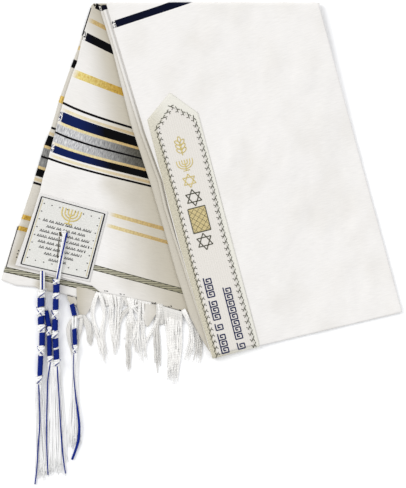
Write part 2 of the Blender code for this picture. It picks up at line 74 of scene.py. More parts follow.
# Heights, from the table up, as in the solids
TOP_OF_STACK = 3.9
SHEET_LIFT = 0.35
SHEET_WALL = 0.7
PLY_STEP = 1.3
PLY_WALL = 0.75
FRONT_BASE = 5.9
STEP_FLAT, STEP_RUN = 20.0, 36.0
DRAPE_RUN = 120.0

# The back arm's outer layer: its edges in plan
BACK_LEFT = [(-150, 331), (-163, 288.8), (-171.9, 249), (-177.4, 236), (-186.8, 208.5), (-191.2, 193.5),
             (-196.2, 176), (-200.6, 158.7), (-205, 142), (-209.3, 125.5), (-213.5, 107.2), (-219, 90),
             (-223, 71.5), (-255.5, -29)]
BACK_HEM = [(-255.5, -29), (-151, -57.5), (-140, -66), (-108, -72.2), (-66, -81), (-26, -92.8),
            (-2.8, -101.5)]
BACK_RIGHT = [(161, 328), (-2.8, -101.5)]
# Its weft runs in rows that sag from the left edge: height of the row there, slope, and depth of the sag
BACK_ROWS = (
    dict(left_y=332, slope=0.52, sag=0.0),
    dict(left_y=285, slope=0.49, sag=0.0),
    dict(left_y=234, slope=0.36, sag=1.5),
    dict(left_y=193, slope=0.27, sag=9.0),
    dict(left_y=181, slope=0.29, sag=6.0),
    dict(left_y=152, slope=0.23, sag=9.0),
    dict(left_y=131, slope=0.235, sag=6.5),
    dict(left_y=115, slope=0.235, sag=5.0),
    dict(left_y=60, slope=0.285, sag=1.5),
    dict(left_y=-29, slope=0.262, sag=0.0),
)
UNDER_ROWS = (
    dict(left_y=332, slope=0.50, sag=0.0),
    dict(left_y=140, slope=0.25, sag=4.0),
    dict(left_y=20, slope=0.25, sag=0.0),
    dict(left_y=-60, slope=0.21, sag=0.0),
)
BACK_HEM_Y = -27.4
SAG_RUN = 34.0
WEFT_STEPS, WEFT_PACE = 25, 0.6

# The layer under it, which shows along the left
UNDER_LEFT = [(-152.2, 329), (-164.2, 291.5), (-169.8, 271.6), (-180.1, 244.8), (-196.6, 198),
              (-207.2, 160.5), (-216.5, 137.5), (-228.3, 98.3), (-232.4, 83.9), (-247.5, 37.7),
              (-261.7, 0.3), (-271.6, -33.8), (-276.6, -49.5)]
UNDER_HEM = [(-276.6, -49.5), (-257, -57.2), (-228, -59.8), (-221, -64.5), (-205, -66), (-194, -68.5),
             (-184, -71.8), (-174, -74), (-120, -77), (-23, -87)]
UNDER_RIGHT = [(160, 328), (-23, -85.6)]
UNDER_HEM_Y = -60.5
UNDER_FOOT, UNDER_TOP = 0.02, 3.4
# How far in the edges of the hidden layers lie, from the lowest one up
UNDER_INSETS = (0.9, 0.5, 0.0)
# The dark border of the patch on this layer, mostly hidden, and three of its dots
UNDER_PATCH_LINE = [(-253.2, 24.5), (-258.2, 8.0), (-264.0, -12.0), (-269.6, -31.6)]
UNDER_PATCH_DOTS = ((-253.2, -8.6), (-254.6, -13.0), (-255.8, -17.6))
# Corners of the inner layers that hang out between the tassels and the fringe. Their shade is painted shade,
# from their left side to their right
HANGING = {
    "hanging_corner": dict(
        top=[(-172.8, -58.4), (-160, -60.6), (-146.4, -65)],
        bottom=[(-168.4, -100.6), (-165.4, -102.8), (-162.4, -101)],
        left=[(-172.8, -58.4), (-172.2, -74), (-171.9, -85.3), (-168.4, -100.6)],
        right=[(-146.4, -65), (-145.1, -72), (-150.6, -77.5), (-153.2, -87.9), (-162.4, -101)],
        shade=(1.0, 0.55), flat=(0.046, 0.028), area=0.00079,
    ),
    "hanging_fold": dict(
        top=[(-185.4, -70.4), (-174.2, -73.6)], bottom=[(-180.4, -83.8), (-172.4, -83.6)],
        left=[(-185.4, -70.4), (-184.6, -76.5), (-180.4, -83.8)],
        right=[(-174.2, -73.6), (-172.0, -78.4), (-172.4, -83.6)],
        shade=(0.9, 0.8), flat=(0.015, 0.012), area=0.000115,
    ),
    "hanging_point": dict(
        top=[(-84, -78), (-72, -80), (-58, -83)], bottom=[(-78, -111), (-75.6, -114.6), (-73, -112)],
        left=[(-84, -78), (-82, -92), (-78, -111)], right=[(-58, -83), (-62, -95), (-73, -112)],
        shade=(0.3, 0.7), flat=(0.037, 0.028), area=0.00056,
    ),
}
# How they come down to the table, and a part of the cloth that has no stripes, in metres
HANGING_FROM, HANGING_RUN, HANGING_FOOT = 20, 20, 1.2
PLAIN_PLACE = (0.25, 0.115)
# The left edge of the layers under it is a fold, this far in from the selvage. They are drawn out towards the
# crease, from a place along them
FOLDED_EDGE = 12.0
DRAWN_OUT_FROM, DRAWN_OUT = 205.0, 0.045

# The front arm
FRONT_LEFT = [(-131, 328), (-78.4, 153), (-54, 86.6), (-45.9, 50.9), (-34.8, 8.3), (-29.8, -8.3),
              (13.0, -154.2)]
FRONT_END = [(13.0, -154.2), (273.6, -92.6)]
FRONT_RIGHT = [(159.1, 328), (273.6, -92.6)]
FRONT_CREASE = [(-131, 328), (159.1, 328)]
FRONT_ROWS = (
    dict(left_y=328, slope=-0.335, sag=0.0),
    dict(left_y=-157, slope=-0.236, sag=0.0),
)
FRONT_END_Y = -157.0
FRONT_WIDTH = 290.0
FRONT_CLOSE_COLUMNS = (0, 0.8, 1.6, 2.6, 4.0, 6.0)
# Where the top layer turns under: how far up the turn ends, and how far out it bulges
FOLD_FOOT = 1.5
CREASE_BULGE, SIDE_BULGE = 3.6, 0.9
# The layers inside it
INNER_RIGHT = [(157.6, 327.5), (271.4, -90.6)]
STRIP_INSETS = (0.6, 0.0, 0.0)
STRIP_LIFT = 0.05
# The top layer's edge curls up a little. Beside it are a groove and the rolled edge of the layer under it
EDGE_CURL, EDGE_CURL_RUN = 0.9, 3.0
CLOSED_EDGE, CLOSED_FROM, CLOSED_RUN = 0.8, 110, 120
RIDGE_OUT, RIDGE_OUT_LOW = 6.2, 3.4
RIDGE_FOOT = (12.5, -152.0)
RIDGE_PROFILE = ((0, 0.3), (0.7, 1.2), (1.5, 1.9), (2.4, 1.9), (3.2, 1.0), (3.9, -0.6), (4.8, -1.1),
                 (6.0, -1.1), (8.0, -0.4), (11.0, 0.0))
STRIP_LEFT = [(-142, 327.5), (-133.2, 299.6), (-123.2, 267.4), (-97.6, 164.2), (-69.4, 78.6), (-48.1, 5.5),
              (-34.8, -41.8), (-26.7, -66), (-16.9, -98.6), (-0.7, -130.6), (13.5, -152.5)]

# Stripes, as distance from the hem along the left edge, and the yarn
STRIPES = (
    dict(yarn="braid edge", start=18.2, end=19.4),
    dict(yarn="braid", start=19.4, end=24.9),
    dict(yarn="braid edge", start=24.9, end=26.1),
    dict(yarn="soft gold", start=79.8, end=84.4),
    dict(yarn="soft gold", start=94.8, end=99.8),
    dict(yarn="black", start=143.6, end=146.5),
    dict(yarn="pale gold", start=148.3, end=152.2),
    dict(yarn="navy", start=154.7, end=164.6),
    dict(yarn="light gold", start=164.6, end=168.3),
    dict(yarn="grey", start=168.3, end=179.9),
    dict(yarn="black", start=179.9, end=182.6),
    dict(yarn="grey", start=182.6, end=193.1),
    dict(yarn="light gold", start=193.1, end=196.8),
    dict(yarn="navy", start=196.8, end=210.5),
    dict(yarn="pale gold", start=211.3, end=215.5),
    dict(yarn="black", start=219.8, end=222.7),
    dict(yarn="gold", start=257.5, end=267.5),
    dict(yarn="dark navy", start=308.6, end=319.4),
    dict(yarn="soft gold", start=333.4, end=338.9),
    dict(yarn="dark navy", start=353.5, end=361.0),
)
# The layer under it shows the same stripes, with wider ones at its two ends
UNDER_STRIPES = (
    dict(yarn="braid edge", start=21.6, end=22.8),
    dict(yarn="braid", start=22.8, end=28.2),
    dict(yarn="braid edge", start=28.2, end=29.4),
    dict(yarn="gold", start=79.6, end=85.6),
    dict(yarn="gold", start=95.0, end=101.4),
    *STRIPES[5:-1],
    dict(yarn="dark navy", start=353.5, end=394.0),
)
FRONT_STRIPES = (dict(yarn="dark navy", start=452.7, end=462.2),)
# How much further along the cloth the front arm's inner layers turn over at the crease
INNER_SHIFT = 27.0
# What each yarn is: how much of it is metal thread, dark thread and grey thread
YARNS = {
    "white": (0.0, 0.0, 0.0),
    "navy": (0.0, 1.0, 0.0),
    "dark navy": (0.0, 0.795, 0.0),
    "black": (0.0, 0.75, 0.0),
    "gold": (1.0, 0.0, 0.0),
    "soft gold": (0.75, 0.0, 0.0),
    "light gold": (0.72, 0.0, 0.0),
    "pale gold": (0.5, 0.0, 0.0),
    "grey": (0.0, 0.0, 1.0),
    "braid": (0.45, 0.0, 0.5),
    "braid edge": (0.45, 0.0, 0.9),
}
# Stretches of the cloth that hold stripes, each short enough for its own fine colour ramp
STRIPE_ZONES = ((15.0, 110.0), (140.0, 226.0), (255.0, 398.0), (450.0, 470.0))
# Details in metres: how ragged a stripe's edge is, where along the cloth the patch hides metal stripes, and
# the repeats of the braided stripe across and along
RAGGED = 0.0006
PATCH_MIDDLE, PATCH_HALF = 0.088, 0.02
BRAID_ACROSS, BRAID_ALONG = 0.0088, 0.0024
# How dark a yarn has to be to show specks in the selvage, and how much sooner painted shade turns navy yarn
# black than it darkens the other yarns
SPECKED_YARN = 0.79
NAVY_PAINTED_SHADE_GAIN = 1.9
# Gain and offset that turn soft noise into light and dark threads
HEATHER_CONTRAST = (3.6, -1.3)
GLITTER_CONTRAST = (3.4, -1.1)
THREAD_CONTRAST = (1.6, -0.3)
SPECKLE_CONTRAST = (3.4, -1.2)
NAVY_CONTRAST = (4.0, -3.0)
# Painted shade along the neck band's left edge: over what width, in metres, and how much of its own colour is
# left there. The painted shade fades again towards the band's point, from this far up
PAINTED_SHADE_WIDTH, PAINTED_SHADE_START = 0.044, 0.70
POINT_FROM, POINT_RUN, POINT_LIGHT = 0.28, 0.07, 0.5
BUMP_DEPTH = 0.0002

# Each plain finish: which colour setting it has, and how it looks. rib and twist are in metres
PLAIN_FINISHES = {
    # The band margin gets painted shade along its left edge
    "band margin": dict(colour="band_margin", roughness=0.6, rib=0.0016, painted_shade_left="band_margin_painted_shade"),
    "band cloth": dict(colour="band_cloth", roughness=0.6, rib=0.0031),
    "patch cloth": dict(colour="patch_cloth", roughness=0.7, rib=0.0009, uneven_by=0.2, rib_depth=0.015),
    "hem cloth": dict(colour="white_cloth", roughness=0.8, rib=0.0014),
    "white cord": dict(colour="white_cord", roughness=0.75, twist=0.0035, sheen=0.6),
    "fringe cord": dict(colour="fringe_cord", roughness=0.8, twist=0.0035, sheen=0.6),
    # The fringe that lies deeper gets this cord colour in painted shade
    "painted shade cord": dict(colour="painted_shade_cord", roughness=0.8, twist=0.0035),
    "navy cord": dict(colour="navy_cord", roughness=0.6, twist=0.003, uneven_by=0.5, sheen=0.02),
    # This brown is painted shadow, beside the patch's eyelet and cords
    "painted shadow brown": dict(colour="painted_shadow_brown", roughness=0.7),
    "dark thread": dict(colour="dark_thread", roughness=0.7, sheen=0.02),
    "gold thread": dict(colour="gold_stitches", roughness=0.42, metallic=0.45),
    "olive thread": dict(colour="olive_thread", roughness=0.6, sheen=0.05),
    "dull gold thread": dict(colour="dull_gold", roughness=0.5, metallic=0.3),
    "navy thread": dict(colour="navy_yarn", roughness=0.65, sheen=0.02),
}
# Each woven finish: its stripes, and how far across it the patch hides the metal ones, in millimetres
WOVEN_FINISHES = {
    "striped cloth": dict(stripes=STRIPES, hidden_until=97.0),
    "under cloth": dict(stripes=UNDER_STRIPES),
    "front cloth": dict(stripes=FRONT_STRIPES),
}

# Soft folds in the layers that show: both ends, height and half width of each
FRONT_FOLDS = (
    dict(start=(96, 250), end=(112, 205), height=1.0, half=34),
    dict(start=(118, 290), end=(140, 230), height=0.9, half=28),
    dict(start=(170, 20), end=(190, -60), height=1.0, half=36),
    dict(start=(215, 60), end=(226, 0), height=1.0, half=26),
    dict(start=(20, 290), end=(30, 240), height=0.7, half=22),
)
BACK_FOLDS = (
    dict(start=(-150, 240), end=(-188, 100), height=1.4, half=26),
    dict(start=(-98, 110), end=(-104, -40), height=1.4, half=22),
    dict(start=(-62, 60), end=(-75, -55), height=1.2, half=22),
)

# How much painted shade the front arm's inner layers have at the crease and lower down, from the lowest one
# up
STRIP_PAINTED_SHADES = ((0.55, 0.92), (0.45, 0.86), (0.2, 0.8))
# Where the back arm's cloth dips: streaks of painted shade that dull its white
BACK_PAINTED_SHADE_STREAKS = (
    dict(start=(-126, 82), end=(-100, 64), height=0.5, half=24),
    dict(start=(-112, 40), end=(-100, 26), height=0.12, half=18),
    dict(start=(-116, -34), end=(-100, -56), height=0.2, half=22),
)
# Painted shade on the layer under it: at its hem, and in spots beside the border of its patch
UNDER_PAINTED_SHADE_SPOTS = (
    dict(start=(-224, -56), end=(-208, -60), height=0.8, half=12),
    dict(start=(-242.4, 36.6), end=(-243.4, 35.6), height=0.5, half=8),
    dict(start=(-247, 20.6), end=(-248, 19.6), height=0.6, half=8),
)
# Painted shade on the layer under it: all along the sliver, lower down, and what being close beside the patch
# adds
SLIVER_SHADE, LOW_SHADE, BESIDE_SHADE = 0.68, 0.08, 0.85
# How far painted shade reaches over the back arm beside the front arm, at the crease and at the hem: on its
# white ground, and on its yarns, whose reach is scaled up to a limit
GROUND_REACH = dict(high=40, low=100)
YARN_REACH = dict(high=28, low=100)
YARN_REACH_SCALE, YARN_REACH_LIMIT = 1.6, 95
REACH_TOP, REACH_RUN = 290, 360

# Unevenness of the layers: how wide its waves are across and down, how deep they are, and their seed
FRONT_WAVES = (dict(scale=(30, 44), depth=2.0, seed=3.1), dict(scale=(15, 21), depth=0.5, seed=7.7))
BACK_WAVES = (dict(scale=(30, 130), depth=0.6, seed=1.3), dict(scale=(14, 30), depth=0.15, seed=5.2))
HANGING_WAVES = (dict(scale=(6, 14), depth=0.5, seed=4.4),)
# Faint random clouds of painted shade in the white of the front arm and of the back arm, given the same way
FRONT_PAINTED_SHADE_CLOUDS = (dict(scale=(34, 46), depth=0.14, seed=12.5), dict(scale=(14, 19), depth=0.06, seed=15.5))
BACK_PAINTED_SHADE_CLOUDS = (dict(scale=(26, 40), depth=0.12, seed=9.4),)
WAVE_RAISE = 0.3
# The front arm lies flatter under the neck band: how far that reaches, and how flat it is there
BAND_REACH, BAND_REACH_RUN = 60, 50
FLAT_SHARE = 0.1
# The back arm rises a little beside the front arm's edge, where its folds begin
CROWN, CROWN_FROM, CROWN_RUN = 1.8, 3, 40
FOLDS_FROM, FOLDS_RUN = 4, 34

# The neck band: its own axes run across it and from its foot up to its point
BAND_FOOT = np.array((47.4, -150.5))
BAND_ALONG = np.array((-0.2473, 0.9689))
BAND_ACROSS = np.array((0.9689, 0.2473))
BAND_LEFT = [(-39.2, 341.0), (-39.4, 218.0), (-38.8, 157.0), (-36.0, 60.0), (-33.5, 5.0)]
BAND_TOP = [(-39.2, 341.0), (0.0, 369.6), (30.5, 333.4)]
BAND_RIGHT = [(30.5, 333.4), (33.5, 5.0)]
BAND_FOLD = 3.2
BAND_PANEL = [(-26, 5), (-27, 62), (-27.5, 134), (-26.8, 232), (-28.6, 303), (-29.2, 326), (-2.8, 350),
              (22.2, 328), (24.3, 312), (25, 273), (23, 166), (24.6, 91), (26.6, 5)]
STROKE_STEP = 1.6
VINE_STEP = 8.6
# One sprig of the vine: its strokes, as distances beside and along its line
VINE_SPRIG = (((3.0, -4.2), (1.3, -1.4), (-0.8, 1.3), (-2.7, 3.4)), ((0.5, -0.6), (1.8, 1.2), (1.6, 3.4)),
              ((-0.8, 1.3), (-3.2, 0.4), (-3.6, -0.8)))
KEY_ROWS = (
    dict(across=-14.0, start=5.0, hooks=3), dict(across=-14.0, start=37.5, hooks=1),
    dict(across=-14.0, start=52.0, hooks=3), dict(across=-14.0, start=84.0, hooks=3),
    dict(across=9.0, start=5.0, hooks=1), dict(across=9.0, start=19.0, hooks=8),
)
KEY_HEIGHT, KEY_UNIT = 9.6, 9.2
KEY_HOOK = ((0, 0), (1, 0), (1, 0.72), (0.34, 0.72), (0.34, 0.34), (0.66, 0.34))
# The motifs of the band stand in one column. The lattice has a frame, and satin stitches under it
MOTIF_ACROSS = -4
LATTICE_LEFT, LATTICE_RIGHT, LATTICE_FOOT, LATTICE_TOP = -16, 8, 174, 208
LATTICE_PITCH = 8.2
SATIN_LEFT, SATIN_RIGHT, SATIN_FOOT, SATIN_TOP = -15.4, 7.4, 174.6, 207.4

# The corner patch: the corners of its dark border, from the lower left one round to the upper left
PATCH_BORDER = ((-248.7, -27.2), (-156.9, -47.7), (-133.5, 41.3), (-220.1, 65.2))
PATCH_SIZE = (93.0, 92.0)
PATCH_MARGIN = 3.8
PATCH_FLARE = 3.2
PATCH_LIFT = 0.3
PATCH_WALL = 0.8
PATCH_ROWS = (
    dict(up=0.69, half=0.38), dict(up=0.612, half=0.30), dict(up=0.535, half=0.38), dict(up=0.458, half=0.40),
    dict(up=0.38, half=0.36), dict(up=0.303, half=0.32), dict(up=0.226, half=0.22), dict(up=0.15, half=0.13),
)
STITCH = 1.75
DOTS_LEFT, DOTS_RIGHT, DOTS_TOP, DOTS_FOOT = 0.063, 0.935, 0.912, 0.092
EYELET = (-189.5, 15.5)
# A brown line beside the cords, as their painted shadow on the patch
PAINTED_CORD_SHADOW = [(-196.0, 10.0), (-196.8, 1.0), (-197.6, -9.0), (-198.4, -19.0)]

# Tassels. Each head is a list of windings: kind, top, foot, middle and half width
TASSELS = {
    "tassel_left": dict(
        head=(
            ("cord", -37, -64, -219.3, 2.6), ("knot", -64, -73, -221, 5.8),
            ("wound", -73, -86.5, -221.3, 5.2), ("knot", -86.5, -99, -221.3, 5.8),
            ("wound", -99, -110.5, -221.3, 4.8), ("knot", -110.5, -121, -219.6, 5.2),
            ("wound", -121, -140.3, -220, 4.4), ("knot", -140.3, -152.5, -221.3, 5.3),
            ("wound", -152.5, -181, -223, 3.9), ("knot", -181, -192, -224.6, 5.0),
        ),
        heights=((-37, 6.9), (-58, 7.4), (-68, 8.8), (-90, 6.6), (-110, 5.6)),
        strands=(-191, -326, -229.5, -214.5),
        navy=((-224.6, -190), (-224, -205), (-222.8, -246), (-224.7, -268), (-227.4, -311), (-230, -331)),
    ),
    "tassel_middle": dict(
        head=(
            ("loose", -61, -91.5, -216.6, 2.2), ("wound", -91.5, -113.3, -210.2, 3.6),
            ("knot", -113.3, -125, -210, 4.0), ("wound", -125, -154, -209.7, 3.7),
            ("knot", -154, -162, -207.6, 4.5),
        ),
        heights=((-61, 2.6), (-80, 3.6), (-100, 4.8), (-120, 4.9)),
        strands=(-161, -322, -215.5, -205.0),
        navy=((-208, -161), (-212.4, -186), (-213.1, -213), (-214, -246), (-213.5, -290), (-212, -318)),
    ),
    "tassel_over_patch": dict(
        head=(
            ("knot", -48.5, -55, -199.8, 4.9), ("wound", -55, -66.8, -200, 4.8),
            ("knot", -66.8, -74.3, -200.6, 5.3), ("wound", -74.3, -90.8, -201.2, 4.4),
            ("knot", -90.8, -103, -201.8, 5.1), ("wound", -103, -119.6, -202.2, 4.3),
            ("knot", -119.6, -129.8, -201.7, 5.0), ("wound", -129.8, -142.6, -201, 4.2),
            ("ring", -142.6, -145.4, -200.7, 4.3), ("wound", -145.4, -159, -199.9, 4.2),
            ("knot", -159, -168, -199.6, 5.0),
        ),
        heights=((-48, 9.8), (-66, 9.4), (-88, 7.0), (-105, 5.6)),
        strands=(-167, -320, -204.0, -186.0),
        navy=((-199, -167), (-197.3, -201), (-195.5, -232), (-194.2, -259), (-191.5, -292), (-188, -316)),
    ),
    "tassel_right": dict(
        head=(
            ("loose", -79, -82.5, -180.4, 1.6), ("wound", -82.5, -98.6, -175.4, 3.5),
            ("loose", -98.6, -117, -176, 2.6), ("wound", -117, -139, -174.6, 3.4),
            ("knot", -139, -150, -174.6, 3.8),
        ),
        heights=((-79, 3.4), (-82, 3.8), (-100, 4.6), (-120, 4.8)),
        strands=(-149, -284, -184.0, -168.0),
        navy=((-176, -149), (-177.4, -170), (-174.6, -204.5), (-171.9, -223), (-168.2, -250), (-170, -273.6),
              (-179, -297)),
        navy_radius=(0.6, 0.65, 0.9, 1.7, 2.0, 1.6),
    ),
}
CORDS_END = (-198.0, -50.0)
CORD_POINTS = 16
CORD_RADIUS = 0.85
CORD_PITCH, CORD_TILT = 1.75, 0.34
KNOT_CORD_RADIUS = 1.45
RING_CORD_RADIUS = 0.9
# How deep the cords of a winding and of a knot lie over the core
WINDING_DEPTH, KNOT_DEPTH = 1.1, 1.6
STRAND_RADIUS = 0.95
WHITE_STRANDS = 17
FIBRES = 3
FIBRE_RADIUS = 0.34
NAVY_STRAND_RADIUS = 0.9

# Fringe, in bundles of strands that run together: path in plan, how far they spread to each side, and their
# number. A bundle starts at the hem's height unless it states another one. Bundles marked dull, and by
# default every fourth one, lie deeper and get the cord colour in painted shade
FRINGE = (
    dict(path=[(-143, -66), (-149, -80), (-151, -98), (-146, -118), (-139, -142), (-133, -166)],
         spread=(2, 2.5, 3, 4), count=9),
    dict(path=[(-141, -66), (-135, -82), (-133, -103), (-137, -122), (-134, -145), (-128, -160)],
         spread=(2, 3, 3, 5), count=8),
    dict(path=[(-122, -68), (-119, -88), (-121, -107), (-119, -132), (-117, -153)],
         spread=(10, 8, 5, 4), count=16),
    dict(path=[(-108, -71), (-97, -87), (-108, -95), (-115, -108), (-118, -134)],
         spread=(4, 1.5, 3, 4, 4), count=9),
    dict(path=[(-100, -73), (-97, -87), (-99, -106), (-98, -126), (-102, -148)],
         spread=(5, 2, 8, 8, 5), count=16),
    dict(path=[(-92, -75), (-95, -88), (-83, -97), (-84, -108), (-97, -122), (-109, -136)],
         spread=(3, 1.5, 2, 2.5, 3), count=7),
    dict(path=[(-98, -88), (-88, -84.5), (-77, -84), (-66, -81)],
         spread=(1.5, 1.2, 1.2, 1.5), count=5, hem=5.4),
    dict(path=[(-98, -110), (-102, -135), (-101, -152), (-100, -176)],
         spread=(3, 3, 3, 4), count=9, hem=3.0),
    dict(path=[(-90, -106), (-91, -125), (-91, -140), (-90, -154)],
         spread=(3, 3, 3, 2), count=6, hem=3.0),
    dict(path=[(-84, -80), (-84, -110), (-83, -135), (-81, -164)],
         spread=(4, 5, 5, 6), count=8),
    dict(path=[(-58, -82), (-58, -95), (-63, -108), (-72, -126), (-82, -148)],
         spread=(3, 1, 2, 2, 3), count=6),
    dict(path=[(-58, -82), (-60, -98), (-63, -118), (-62, -142), (-60, -178)],
         spread=(4, 3, 4, 4, 3), count=10),
    dict(path=[(-46, -100), (-44, -118), (-44, -150), (-46, -187)],
         spread=(7, 5, 3, 2), count=11, hem=3.6),
    dict(path=[(-37, -102), (-36, -116), (-36, -150), (-38, -193)],
         spread=(9, 8, 6, 5), count=18, hem=3.6),
    dict(path=[(-26, -90), (-16, -110), (-14, -138), (-23, -160)],
         spread=(3, 3, 4, 6), count=11),
    dict(path=[(-20, -92), (-9, -114), (-4, -140), (-7, -164)],
         spread=(3, 4, 5, 5), count=9, hem=4.0),
    dict(path=[(-164, -98), (-160, -103.5), (-155.5, -110.5), (-153.6, -121), (-153.4, -131),
               (-153.8, -142)],
         spread=(1.6, 1.6, 2, 2.4, 2.2, 1), count=8, hem=3.0, dull=True, thick=1.3),
    dict(path=[(-165, -98), (-161, -106), (-157.6, -116), (-156.4, -128), (-154.6, -140)],
         spread=(1, 1.2, 1.4, 1.4, 1), count=5, hem=2.0, dull=True, thick=1.3),
    dict(path=[(-164, -99), (-173.3, -99.6), (-178.2, -103), (-182.6, -109), (-184.6, -117.5),
               (-184.4, -126), (-182.2, -137), (-178.1, -149), (-174.8, -163)],
         spread=(1.4, 1.5, 1.6, 1.6, 1.6), count=9, hem=4.0, dull=True, thick=1.3),
    dict(path=[(-165, -100), (-166.6, -111), (-168, -122), (-170, -132), (-173.3, -146), (-174.4, -163)],
         spread=(2.2, 2.2, 2, 1.8, 1.6), count=9, hem=3.0, dull=True, thick=1.3),
)
# Short strands that hang side by side from the hem. Those that drop further than LONG_GATHER lie deeper and
# get the cord colour in painted shade
GATHERS = (
    dict(start=(-106, -70.5), end=(-70, -78.5), count=30, drop=13),
    dict(start=(-138, -65.5), end=(-108, -69.5), count=26, drop=18),
    dict(start=(-60, -83.6), end=(-28, -93.0), count=34, drop=26),
)
STRAND_POINTS = 22
STRANDS_FOR_EACH = 1.5
HEM_HEIGHT, HEM_RAISE = 5.0, 1.3
GATHER_POINTS = 9
GATHER_HEIGHTS = (6.2, 1.0)
LONG_GATHER = 20
# Dark specks over the hem
HEM_SPECKS = ((-133.4, -64.6), (-110.7, -68.8), (-66.4, -81.1), (-45.4, -85.6), (-28.9, -90.4))


def smooth(t):
    t = np.clip(t, 0.0, 1.0)
    return t * t * (3 - 2 * t)


def mix(a, b, t):
    return a + (b - a) * t


def resample(points, shares):
    """Points of a bent line at shares of its length."""
    points = np.asarray(points, float)
    steps = np.linalg.norm(np.diff(points, axis=0), axis=1)
    at = np.concatenate([[0.0], np.cumsum(steps)]) / steps.sum()
    return np.stack([np.interp(shares, at, points[:, k]) for k in range(points.shape[1])], axis=-1)


def fill_between(top, bottom, left, right, rows, columns):
    """A grid of plan points between four edges. Top and bottom run left to right, left and right run down.

    columns is how many there are, or their shares of the width.
    """
    s = np.linspace(0, 1, columns) if isinstance(columns, int) else np.asarray(columns)
    t = np.linspace(0, 1, rows)
    top, bottom = resample(top, s)[None], resample(bottom, s)[None]
    left, right = resample(left, t)[:, None], resample(right, t)[:, None]
    s, t = s[None, :, None], t[:, None, None]
    corners = (1 - s) * (1 - t) * top[:, :1] + s * (1 - t) * top[:, -1:]
    corners = corners + (1 - s) * t * bottom[:, :1] + s * t * bottom[:, -1:]
    return (1 - s) * left + s * right + (1 - t) * top + t * bottom - corners


class WeftRows:
    """Where the weft of one layer runs, so that stripes follow the cloth."""

    def __init__(self, left_edge, rows, hem_y):
        edge = np.asarray(left_edge, float)[::-1]
        self.edge_y, self.edge_x = edge[:, 1], edge[:, 0]
        rows = sorted(rows, key=lambda row: row["left_y"])
        self.left_y = [row["left_y"] for row in rows]
        self.slope = [row["slope"] for row in rows]
        self.sag = [row["sag"] for row in rows]
        self.hem_y = hem_y

    def cloth_place(self, x, y):
        """Where plan points lie on the flat cloth: across it from the selvage, and along it from the hem."""
        # Settles, step by step, on the row that runs through each point
        left_y = np.array(y, float)
        for _ in range(WEFT_STEPS):
            away = x - np.interp(left_y, self.edge_y, self.edge_x)
            slope = np.interp(left_y, self.left_y, self.slope)
            sag = np.interp(left_y, self.left_y, self.sag)
            target = y + slope * away + sag * (1 - np.exp(-np.maximum(away, 0) / SAG_RUN))
            left_y = mix(left_y, target, WEFT_PACE)
        return np.stack([away, left_y - self.hem_y], axis=-1) * MM


def fold_height(plan, folds):
    """Sum of soft ridges at plan points."""
    total = np.zeros(plan.shape[:-1])
    for fold in folds:
        start, end = np.array(fold["start"], float), np.array(fold["end"], float)
        run = end - start
        share = np.clip(((plan - start) @ run) / (run @ run), 0, 1)
        away = np.linalg.norm(plan - (start + share[..., None] * run), axis=-1)
        total += fold["height"] * smooth(1 - away / fold["half"])
    return total


def cloth_noise(plan, layers):
    """Gentle unevenness of the cloth at plan points, the same on each run."""
    flat = plan.reshape(-1, 2)
    total = np.zeros(len(flat))
    for layer in layers:
        across, down = layer["scale"]
        heights = [noise.noise(Vector((x / across, y / down, layer["seed"]))) for x, y in flat]
        total += layer["depth"] * np.array(heights)
    return total.reshape(plan.shape[:-1])


def lengths_along(path):
    """How far each point of a bent line lies from its start, measured along it."""
    return np.concatenate([[0.0], np.cumsum(np.linalg.norm(np.diff(path, axis=0), axis=1))])


def directions(line):
    """Unit vectors ahead along a line of plan points, and to the left of it."""
    ahead = np.gradient(line, axis=0)
    ahead /= np.linalg.norm(ahead, axis=1, keepdims=True)
    return ahead, np.stack([-ahead[:, 1], ahead[:, 0]], axis=1)


def edge_across(plan, edge):
    """Where an edge that runs down the plan lies across it, at the height of each plan point."""
    edge = np.array(edge, float)[::-1]
    return np.interp(plan[..., 1], edge[:, 1], edge[:, 0])


def outside(plan, corners):
    """How far plan points lie outside a convex outline whose corners run anticlockwise."""
    distances = []
    for a, b in zip(corners, corners[1:] + corners[:1]):
        edge = np.subtract(b, a) / np.linalg.norm(np.subtract(b, a))
        distances.append((plan - a) @ np.array([edge[1], -edge[0]]))
    return np.max(distances, axis=0)


BACK_OUTLINES = (
    [(-152.5, 328), (-276.8, -52.2), (-23, -85.6), (160, 328)],
    [(-150.5, 328), (-255.5, -28.9), (-5.7, -101), (161, 328)],
)


def front_underside(plan, run=STEP_RUN):
    """Height of the front arm's lowest face: over the back arm, or down on the table."""
    away = np.min([outside(plan, corners) for corners in BACK_OUTLINES], axis=0)
    return FRONT_BASE * (1 - smooth((away - STEP_FLAT) / run))


def front_height(plan):
    """Height of the front arm's outer layer at plan points."""
    waves = np.maximum(cloth_noise(plan, FRONT_WAVES) + WAVE_RAISE, 0)
    past_band = plan[..., 0] - edge_across(plan, FRONT_LEFT) - BAND_REACH
    free = mix(FLAT_SHARE, 1, smooth(past_band / BAND_REACH_RUN))
    lift = TOP_OF_STACK + SHEET_LIFT
    return front_underside(plan, DRAPE_RUN) + lift + fold_height(plan, FRONT_FOLDS) + waves * free


def open_edge(plan):
    """How far the edges beside the neck band stand apart, which is least near the crease."""
    return 1 - CLOSED_EDGE * smooth((plan[..., 1] - CLOSED_FROM) / CLOSED_RUN)


def from_strip(plan):
    """How far plan points lie to the left of the front arm."""
    return edge_across(plan, STRIP_LEFT) - plan[..., 0]


def back_height(plan):
    """Height of the back arm's outer layer at plan points."""
    away = from_strip(plan)
    clear = smooth((away - FOLDS_FROM) / FOLDS_RUN)
    waves = np.maximum(cloth_noise(plan, BACK_WAVES) + WAVE_RAISE, 0)
    crown = CROWN * smooth((away - CROWN_FROM) / CROWN_RUN)
    return TOP_OF_STACK + SHEET_LIFT + (fold_height(plan, BACK_FOLDS) + waves) * clear + crown


